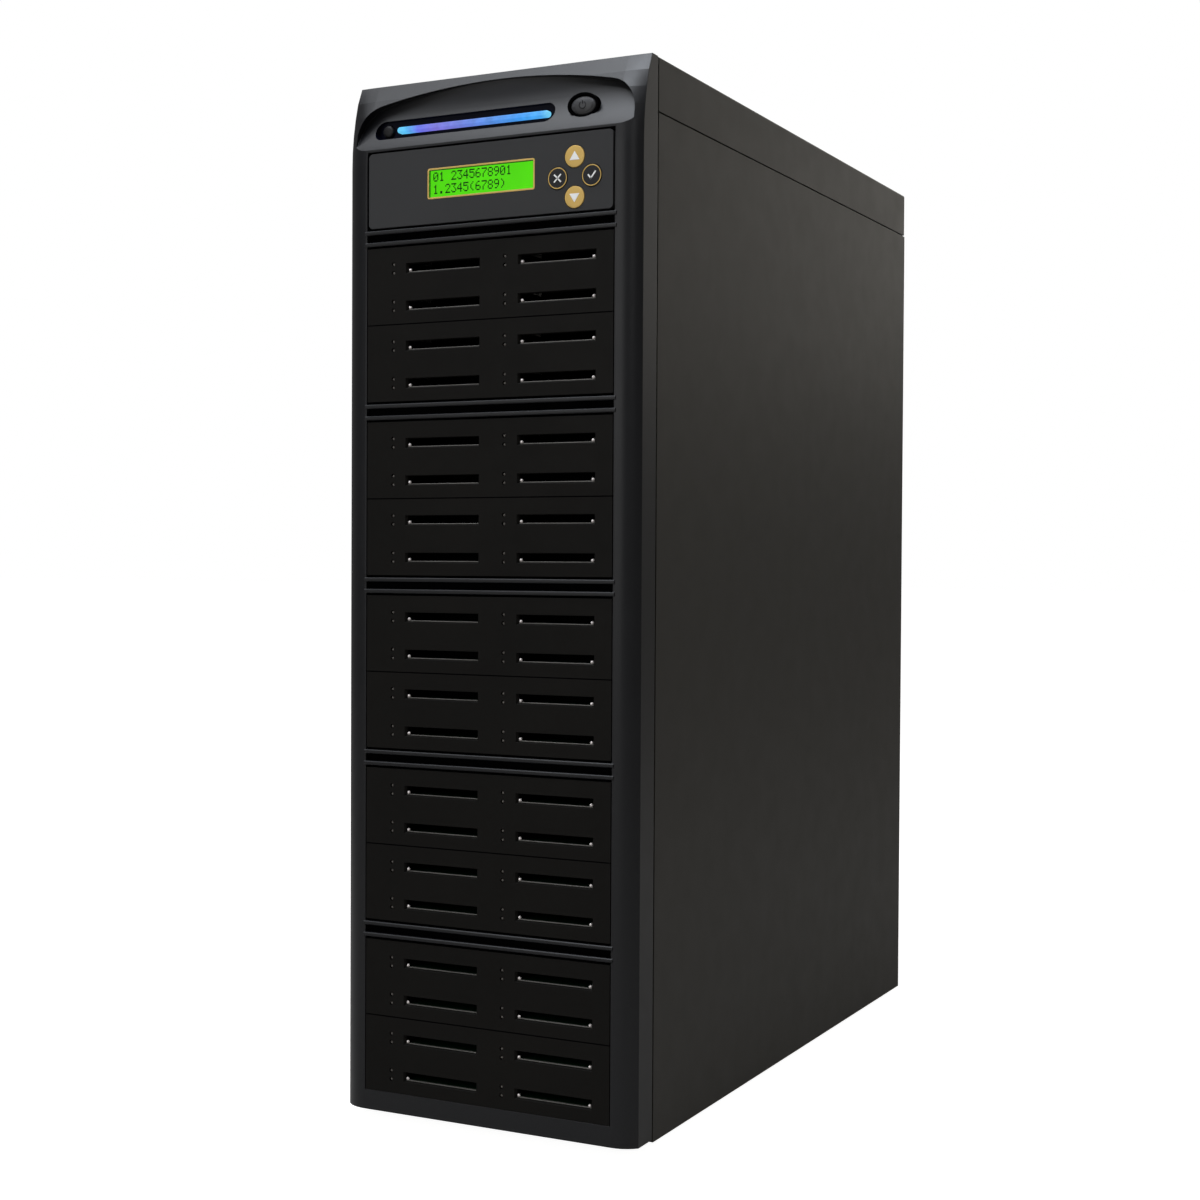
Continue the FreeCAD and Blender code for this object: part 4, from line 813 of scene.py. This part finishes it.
# Smooth caps in place of the many-sided buttons and keys
CAP_SIDES = 72
DOME_STEPS = 7
DOME_WIDTH_SHARE = 0.9
DOME_HEIGHT_SHARE = 0.86
BUTTON_RIM_STEPS = 5
KEY_RIM_STEPS = 4
CAP_EDGE = 50.0


def crown(wide, tall, front, sag):
    """The domed face of a button: half sizes and depths of its rings."""
    rings = []
    for n in range(1, DOME_STEPS):
        share = n / DOME_STEPS
        half_sizes = (wide * share * DOME_WIDTH_SHARE, tall * share * DOME_HEIGHT_SHARE)
        rings.append((*half_sizes, front + sag * share * share))
    return rings


def rim(wide, tall, front, corner, steps):
    """The rounded edge of a face, from the face to the side."""
    rings = []
    for n in range(steps + 1):
        turn = math.pi / 2 * n / steps
        inset = corner * (1 - math.sin(turn))
        rings.append((wide - inset, tall - inset, front + corner * (1 - math.cos(turn))))
    return rings


def flange(wide, tall, reach, front, back):
    """The end of the side, and the flange at the back that holds the button in."""
    return [(wide, tall, front), (wide + reach, tall + reach, front), (wide + reach, tall + reach, back)]


def cap(name, node, rings, material, slot):
    """A round or oval button in place of a node."""
    x, z = middle(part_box(node))
    shape = Shape()
    shape.stack([(oval(x, z, wide, tall, CAP_SIDES), y) for wide, tall, y in rings])
    obj = smooth(shape.make(name, material, node), CAP_EDGE)
    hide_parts(node)


BUTTON_FLANGE = 0.95 * MM
BUTTON_FLANGE_THICKNESS = 1.0 * MM


def button(name, node, half_sizes, sag, corner, material):
    """A domed button of the header."""
    wide, tall = half_sizes
    low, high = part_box(node)
    rings = crown(wide, tall, low.y, sag)
    rings += rim(wide, tall, low.y + sag, corner, BUTTON_RIM_STEPS)
    rings += flange(wide, tall, BUTTON_FLANGE, high.y - BUTTON_FLANGE_THICKNESS, high.y)
    cap(name, node, rings, material, "bezel_plastic")


POWER_HALF = (7.3 * MM, 4.9 * MM)
POWER_SAG = 0.9 * MM
POWER_CORNER = 1.4 * MM
RESET_HALF = (3.2 * MM, 3.2 * MM)
RESET_SAG = 0.3 * MM
RESET_CORNER = 0.7 * MM
button("power_cap", "power_button", POWER_HALF, POWER_SAG, POWER_CORNER, CAP_LIT)
button("reset_cap", "reset_button", RESET_HALF, RESET_SAG, RESET_CORNER, MOULDED)

KEY_RADIUS = 5.6 * MM
KEY_CORNER = 0.25 * MM
KEY_FLANGE = 0.75 * MM
KEY_FLANGE_THICKNESS = 1.2 * MM
KEY_FINISHES = {
    "key_up": (GOLD, "gold_key"),
    "key_down": (GOLD, "gold_key"),
    "key_escape": (KEY_BLACK, "black_key"),
    "key_confirm": (KEY_BLACK, "black_key"),
}
for key, finish in KEY_FINISHES.items():
    low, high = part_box(key)
    rings = [(KEY_RADIUS / 2, KEY_RADIUS / 2, low.y)]
    rings += rim(KEY_RADIUS, KEY_RADIUS, low.y, KEY_CORNER, KEY_RIM_STEPS)
    rings += flange(KEY_RADIUS, KEY_RADIUS, KEY_FLANGE, high.y - KEY_FLANGE_THICKNESS, high.y)
    cap(key + "_cap", key, rings, *finish)


# Black collar round the power button, standing out of its well and lapping over the well's edge: painted
# shade of the well round the cap
COLLAR_MARGINS = (0.3 * MM, 1.6 * MM)
COLLAR_SETBACK = 0.6 * MM
WELL_DEPTH_BEHIND = 3.15 * MM
power_low, power_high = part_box("power_button")
power_x, power_z = middle((power_low, power_high))
edges = [oval(power_x, power_z, POWER_HALF[0] + m, POWER_HALF[1] + m, CAP_SIDES) for m in COLLAR_MARGINS]
shade_collar = Shape()
shade_collar.band(*edges, power_low.y + COLLAR_SETBACK, power_high.y - WELL_DEPTH_BEHIND)
smooth(shade_collar.make("power_shade_collar", SHADE_BLACK, "case"))


# Raised power sign on the cap: an open ring and a bar
ARC_STEPS = 26
ARC_START = 125.0
ARC_SWEEP = 290.0
ARC_INNER = 1.55 * MM
ARC_OUTER = 2.05 * MM
BAR_HALF = 0.25 * MM
BAR_HEIGHTS = (0.5 * MM, 2.3 * MM)
SIGN_SINK = 0.4 * MM
sign_depths = (power_low.y - PRINT, power_low.y + SIGN_SINK)


def arc_place(radius, step):
    turn = math.radians(ARC_START + ARC_SWEEP * step / ARC_STEPS)
    return power_x + radius * math.cos(turn), power_z + radius * math.sin(turn)


power_sign = Shape()
for step in range(ARC_STEPS):
    corners = ((ARC_INNER, step), (ARC_OUTER, step), (ARC_OUTER, step + 1), (ARC_INNER, step + 1))
    power_sign.slab([arc_place(*corner) for corner in corners], *sign_depths)
bar_low, bar_high = (power_z + height for height in BAR_HEIGHTS)
power_sign.box(
    (power_x - BAR_HALF, sign_depths[0], bar_low),
    (power_x + BAR_HALF, sign_depths[1], bar_high),
)
power_sign.make("power_sign", KEY_BLACK, "power_button")


# Round wire guards over the fans, round rims in their many-sided openings
SHEET = 1.0 * MM
WIRE = 0.85 * MM
SPOKE = 0.98 * WIRE
GUARD_RINGS = (9.0 * MM, 17.0 * MM, 25.0 * MM, 33.0 * MM)
GUARD_SIDES = 56
SCREW_OFFSET = 35.75 * MM
SCREW_RADIUS = 3.2 * MM
SPOKE_GAP = 0.4 * MM
SPOKE_REACH = SCREW_OFFSET - SCREW_RADIUS / math.sqrt(2) - SPOKE_GAP
RIM_INNER = 37.2 * MM
RIM_OUTER = 38.4 * MM
RIM_PROUD = 0.04 * MM
RIM_SIDES = 96
WIRE_EDGE = 60.0
guards = Shape()
for box in CASE_FANS + SUPPLY_FANS:
    x, z = middle(box)
    wire_y = box[1].y + SHEET + WIRE
    for radius in GUARD_RINGS:
        guards.tube([(a, wire_y, b) for a, b in circle(x, z, radius, GUARD_SIDES)], WIRE, closed=True)
    for slant in (SPOKE_REACH, -SPOKE_REACH):
        guards.tube([(x - SPOKE_REACH, wire_y, z - slant), (x + SPOKE_REACH, wire_y, z + slant)], SPOKE)
fan_wires = smooth(guards.make("fan_wires", ZINC, "case"), WIRE_EDGE)
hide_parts("fan_guards")

for name, fans, material, slot in (
    ("case_fan_rims", CASE_FANS, CASE, "case_paint"),
    ("supply_fan_rim", SUPPLY_FANS, ZINC, "zinc_steel"),
):
    rims = Shape()
    for box in fans:
        x, z = middle(box)
        inside = box[1].y
        edges = [circle(x, z, radius, RIM_SIDES) for radius in (RIM_INNER, RIM_OUTER)]
        rims.band(*edges, inside, inside + SHEET + RIM_PROUD)
    smooth(rims.make(name, material, "case"))


# Cross-recessed pan heads of the fan screws
SCREW_HEIGHT = 2.0 * MM
HEAD_SIDE = 0.35
CROWN_STEPS = 4
CROWN_TURN = math.radians(60)
CROWN_DRAW = 0.6
CROSS_ARM = 0.52 * SCREW_RADIUS
CROSS_HALF = 0.12 * SCREW_RADIUS
CROSS_FLOOR = 0.45
HEAD_EDGE = 35.0


def cross_outline(arm, half):
    """A cross: from the middle of an arm's end, by an inner corner, to the near corner of the next arm."""
    points = []
    for quarter in range(4):
        turn = math.pi / 2 * quarter
        for a, b in ((arm, 0.0), (arm, half), (half, half), (half, arm)):
            points.append((a * math.cos(turn) - b * math.sin(turn), a * math.sin(turn) + b * math.cos(turn)))
    return points


def around(outline, radius):
    """The places on a circle in the directions of an outline's places."""
    return [(radius * a / math.hypot(a, b), radius * b / math.hypot(a, b)) for a, b in outline]


def screw_head(shape, x, z, seat):
    """One pan head: its side, its crown and the recess, with radii and heights as shares of the head's."""
    cross = cross_outline(CROSS_ARM, CROSS_HALF)
    profile = [(1.0, 0.0), (1.0, HEAD_SIDE)]
    for n in range(1, CROWN_STEPS + 1):
        turn = CROWN_TURN * n / CROWN_STEPS
        rise = math.sin(turn) / math.sin(CROWN_TURN)
        profile.append((1 - CROWN_DRAW * (1 - math.cos(turn)), HEAD_SIDE + (1 - HEAD_SIDE) * rise))
    loops = [(around(cross, SCREW_RADIUS * share), rise) for share, rise in profile]
    loops += [(cross, 1.0), (cross, CROSS_FLOOR)]
    placed = [([(x + a, z + b) for a, b in outline], seat + SCREW_HEIGHT * rise) for outline, rise in loops]
    shape.stack(placed)


heads = Shape()
for box in CASE_FANS + SUPPLY_FANS:
    x, z = middle(box)
    for side in (-SCREW_OFFSET, SCREW_OFFSET):
        for rise in (-SCREW_OFFSET, SCREW_OFFSET):
            screw_head(heads, x + side, z + rise, box[1].y + SHEET)
screw_heads = smooth(heads.make("fan_screw_heads", ZINC, "case"), HEAD_EDGE)
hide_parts("rear_screws")


# Knurled heads of the side panels' thumbscrews
KNURLS = 28
KNURL_RADII = (3.3 * MM, 3.6 * MM)
THUMB_INSET = 3.73 * MM
THUMB_HEIGHTS = (110.0 * MM, 440.0 * MM)
THUMB_LENGTH = 8.0 * MM
# Where the head and its knurls start, from the seat, and where they stop, from the end
HEAD_START = 1.2 * MM
KNURL_START = 1.7 * MM
KNURL_STOP = 1.0 * MM
HEAD_STOP = 0.4 * MM
KNURL_EDGE = 25.0
NECK = 0.6
SHOULDER = 0.9
BUTTON = 0.55
HOLLOW = 0.2
thumb_low, thumb_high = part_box("thumbscrews")
seat = thumb_high.y - THUMB_LENGTH
end = thumb_high.y
# Each ring of the head: its share of the knurled outline and its place along the screw
THUMB_RINGS = (
    (NECK, seat),
    (NECK, seat + HEAD_START),
    (SHOULDER, seat + HEAD_START),
    (1.0, seat + KNURL_START),
    (1.0, end - KNURL_STOP),
    (SHOULDER, end - HEAD_STOP),
    (NECK, end - HEAD_STOP),
    (BUTTON, end),
    (HOLLOW, end),
)
knurled = []
for n in range(2 * KNURLS):
    turn = math.pi * n / KNURLS
    knurled.append((KNURL_RADII[n % 2] * math.cos(turn), KNURL_RADII[n % 2] * math.sin(turn)))
knobs = Shape()
for x in (thumb_low.x + THUMB_INSET, thumb_high.x - THUMB_INSET):
    for z in THUMB_HEIGHTS:
        knobs.stack([([(x + share * a, z + share * b) for a, b in knurled], y) for share, y in THUMB_RINGS])
thumb_heads = smooth(knobs.make("thumbscrew_heads", ZINC, "case"), KNURL_EDGE)
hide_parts("thumbscrews")


# White ring and bar on the upper and lower half of the mains rocker
ROCKER_TILT = math.radians(-7.0)
ROCKER_RISE = 1.4 * MM
ROCKER_RUN = 7.0 * MM
ROCKER_SLOPE = math.atan2(ROCKER_RISE, ROCKER_RUN)
ROCKER_FACE = 1.2 * MM
MARK_MIDDLE = 3.6 * MM
MARK_REACH = 1.6 * MM
MARK_RING_INNER = 1.15 * MM
MARK_BAR_HALF = 0.25 * MM
MARK_SIDES = 32
UPPER, LOWER = 1, -1
rocker_x, _ = middle(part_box("power_rocker"))
rocker_joint = next(j for j in RECORD["behaviour"]["joints"] if j["name"] == "mains_rocker_tilt")
_, pivot_y, pivot_z = rocker_joint["pos_m"]


def on_rocker(half, across, lift, out):
    """A place on one half of the rocker's face: across it, above it, and out from its middle."""
    y = ROCKER_FACE + out * math.sin(ROCKER_SLOPE) + lift * math.cos(ROCKER_SLOPE)
    z = half * (out * math.cos(ROCKER_SLOPE) - lift * math.sin(ROCKER_SLOPE))
    return (
        rocker_x + across,
        pivot_y + y * math.cos(ROCKER_TILT) - z * math.sin(ROCKER_TILT),
        pivot_z + y * math.sin(ROCKER_TILT) + z * math.cos(ROCKER_TILT),
    )


ring_mark = Shape()
ring_mark.band(
    circle(0.0, MARK_MIDDLE, MARK_RING_INNER, MARK_SIDES),
    circle(0.0, MARK_MIDDLE, MARK_REACH, MARK_SIDES),
    -SINK,
    PRINT,
)
# The lower half is a mirror image, so the bar's outline runs the other way round
near, far = MARK_MIDDLE - MARK_REACH, MARK_MIDDLE + MARK_REACH
bar_mark = Shape()
bar_mark.slab(
    [(-MARK_BAR_HALF, near), (-MARK_BAR_HALF, far), (MARK_BAR_HALF, far), (MARK_BAR_HALF, near)],
    -SINK,
    PRINT,
)
marks = Shape()
for mark, half in ((ring_mark, UPPER), (bar_mark, LOWER)):
    marks.join(mark, partial(on_rocker, half))
marks.make("rocker_marks", WHITE, "power_rocker")


# Smooth shading of the CAD nodes, up to the angle where an edge is meant
BEZEL_EDGE = 42.0
OTHER_EDGE = 32.0
for name, node in NODES.items():
    smooth(node, BEZEL_EDGE if name == "front_bezel" else OTHER_EDGE)


# Stage and world: white to a direct view, faint in mirrored ones so that the black plastic stays black
FLOOR_SIZE = 40.0
FLOOR_DROP = 0.5 * MM
FLOOR_COLOUR = (0.48, 0.465, 0.44, 1.0)
FLOOR_LIFT = 0.96
MIRRORED = 0.08
SKY_COLOUR = (1.0, 0.97, 0.92, 1.0)
SKY_STRENGTH = 0.14
PURE_WHITE = (1.0, 1.0, 1.0, 1.0)


def pale_view(tree):
    """1 for a direct view, less for a mirrored or refracted one, 0 for the light that falls on the object."""
    path = add(tree, "ShaderNodeLightPath")
    total = path.outputs["Is Camera Ray"]
    for other in ("Is Glossy Ray", "Is Transmission Ray"):
        share = add(tree, "ShaderNodeMath", operation="MULTIPLY")
        tree.links.new(path.outputs[other], share.inputs[0])
        share.inputs[1].default_value = MIRRORED
        larger = add(tree, "ShaderNodeMath", operation="MAXIMUM")
        tree.links.new(total, larger.inputs[0])
        tree.links.new(share.outputs[0], larger.inputs[1])
        total = larger.outputs[0]
    return total


def pale_floor():
    """A pale floor that shows nearly white and keeps the object's soft shadow."""
    material, tree, shader = new_material("stage_floor")
    shader.inputs["Base Color"].default_value = FLOOR_COLOUR
    shader.inputs["Roughness"].default_value = 0.9
    shader.inputs["Specular IOR Level"].default_value = 0.0
    shader.inputs["Emission Color"].default_value = PURE_WHITE
    lift = add(tree, "ShaderNodeMath", operation="MULTIPLY")
    tree.links.new(pale_view(tree), lift.inputs[0])
    lift.inputs[1].default_value = FLOOR_LIFT
    tree.links.new(lift.outputs[0], shader.inputs["Emission Strength"])
    return material


reach = FLOOR_SIZE / 2
floor_corners = [(-reach, -reach), (reach, -reach), (reach, reach), (-reach, reach)]
floor_mesh = bpy.data.meshes.new("stage_floor")
floor_mesh.from_pydata([(x, y, -FLOOR_DROP) for x, y in floor_corners], [], [(0, 1, 2, 3)])
floor = bpy.data.objects.new("stage_floor", floor_mesh)
bpy.context.scene.collection.objects.link(floor)
dress(floor, pale_floor())

world = bpy.data.worlds.new("studio")
bpy.context.scene.world = world
world.use_nodes = True
tree = world.node_tree
sky = tree.nodes["Background"]
sky.inputs["Color"].default_value = SKY_COLOUR
sky.inputs["Strength"].default_value = SKY_STRENGTH
white = add(tree, "ShaderNodeBackground")
white.inputs["Color"].default_value = PURE_WHITE
blend = add(tree, "ShaderNodeMixShader")
tree.links.new(pale_view(tree), blend.inputs[0])
tree.links.new(sky.outputs[0], blend.inputs[1])
tree.links.new(white.outputs[0], blend.inputs[2])
tree.links.new(blend.outputs[0], tree.nodes["World Output"].inputs["Surface"])


# Lamps
WARM = (1.0, 0.95, 0.87)
COOL = (0.92, 0.95, 1.0)
BLUISH = (0.84, 0.9, 1.0)
NEUTRAL = (1.0, 1.0, 1.0)


def softbox(name, place, target, size, power, colour):
    """A rectangular lamp that looks from a place at a target, in metres and watts."""
    light = bpy.data.lights.new(name, "AREA")
    light.shape = "RECTANGLE"
    light.size, light.size_y = size
    light.energy = power
    light.color = colour
    obj = bpy.data.objects.new(name, light)
    obj.location = place
    obj.rotation_mode = "QUATERNION"
    obj.rotation_quaternion = (Vector(target) - Vector(place)).to_track_quat("-Z", "Y")
    bpy.context.scene.collection.objects.link(obj)


softbox(
    "ceiling_light",
    place=(-0.3, -0.8, 2.0),
    target=(0.0, -0.2, 0.5),
    size=(1.8, 1.4),
    power=30.0,
    colour=COOL,
)
softbox(
    "top_light",
    place=(-0.12, -0.62, 1.7),
    target=(0.0, -0.1, 0.5),
    size=(0.5, 0.5),
    power=9.0,
    colour=BLUISH,
)
softbox(
    "rear_light",
    place=(0.35, 2.3, 1.1),
    target=(0.08, 0.15, 0.45),
    size=(0.9, 0.9),
    power=5.0,
    colour=WARM,
)
softbox(
    "front_light",
    place=(-0.6, -2.4, 0.8),
    target=(0.0, -0.2, 0.25),
    size=(1.4, 1.2),
    power=9.0,
    colour=NEUTRAL,
)
softbox(
    "side_light",
    place=(1.9, 0.4, 1.0),
    target=(0.08, 0.0, 0.3),
    size=(1.0, 1.0),
    power=4.0,
    colour=WARM,
)
softbox(
    "stile_light",
    place=(1.1, -1.9, 1.1),
    target=(0.05, -0.2, 0.5),
    size=(0.2, 0.6),
    power=1.5,
    colour=NEUTRAL,
)


# Camera, fitted to the edges of the case and the bays in the photo
SENSOR_WIDTH = 36.0
FOCAL_LENGTH = 56.79
YAW = math.radians(26.742)
PITCH = math.radians(-1.181)
ROLL = math.radians(0.300)
EYE = (0.49992, FACE - 0.85866, 0.30441)
FAR_LIMIT = 100.0
camera = bpy.data.cameras.new("camera")
camera.sensor_width = SENSOR_WIDTH
camera.lens = FOCAL_LENGTH
camera.clip_end = FAR_LIMIT
forward = Vector((-math.sin(YAW) * math.cos(PITCH), math.cos(YAW) * math.cos(PITCH), math.sin(PITCH)))
level = Vector((math.cos(YAW), math.sin(YAW), 0.0))
upright = level.cross(forward)
right = math.cos(ROLL) * level + math.sin(ROLL) * upright
up = math.cos(ROLL) * upright - math.sin(ROLL) * level
aim = Matrix((right, up, -forward)).transposed().to_4x4()
viewer = bpy.data.objects.new("camera", camera)
viewer.matrix_world = Matrix.Translation(EYE) @ aim
bpy.context.scene.collection.objects.link(viewer)
bpy.context.scene.camera = viewer
bpy.context.scene.view_settings.view_transform = "Standard"
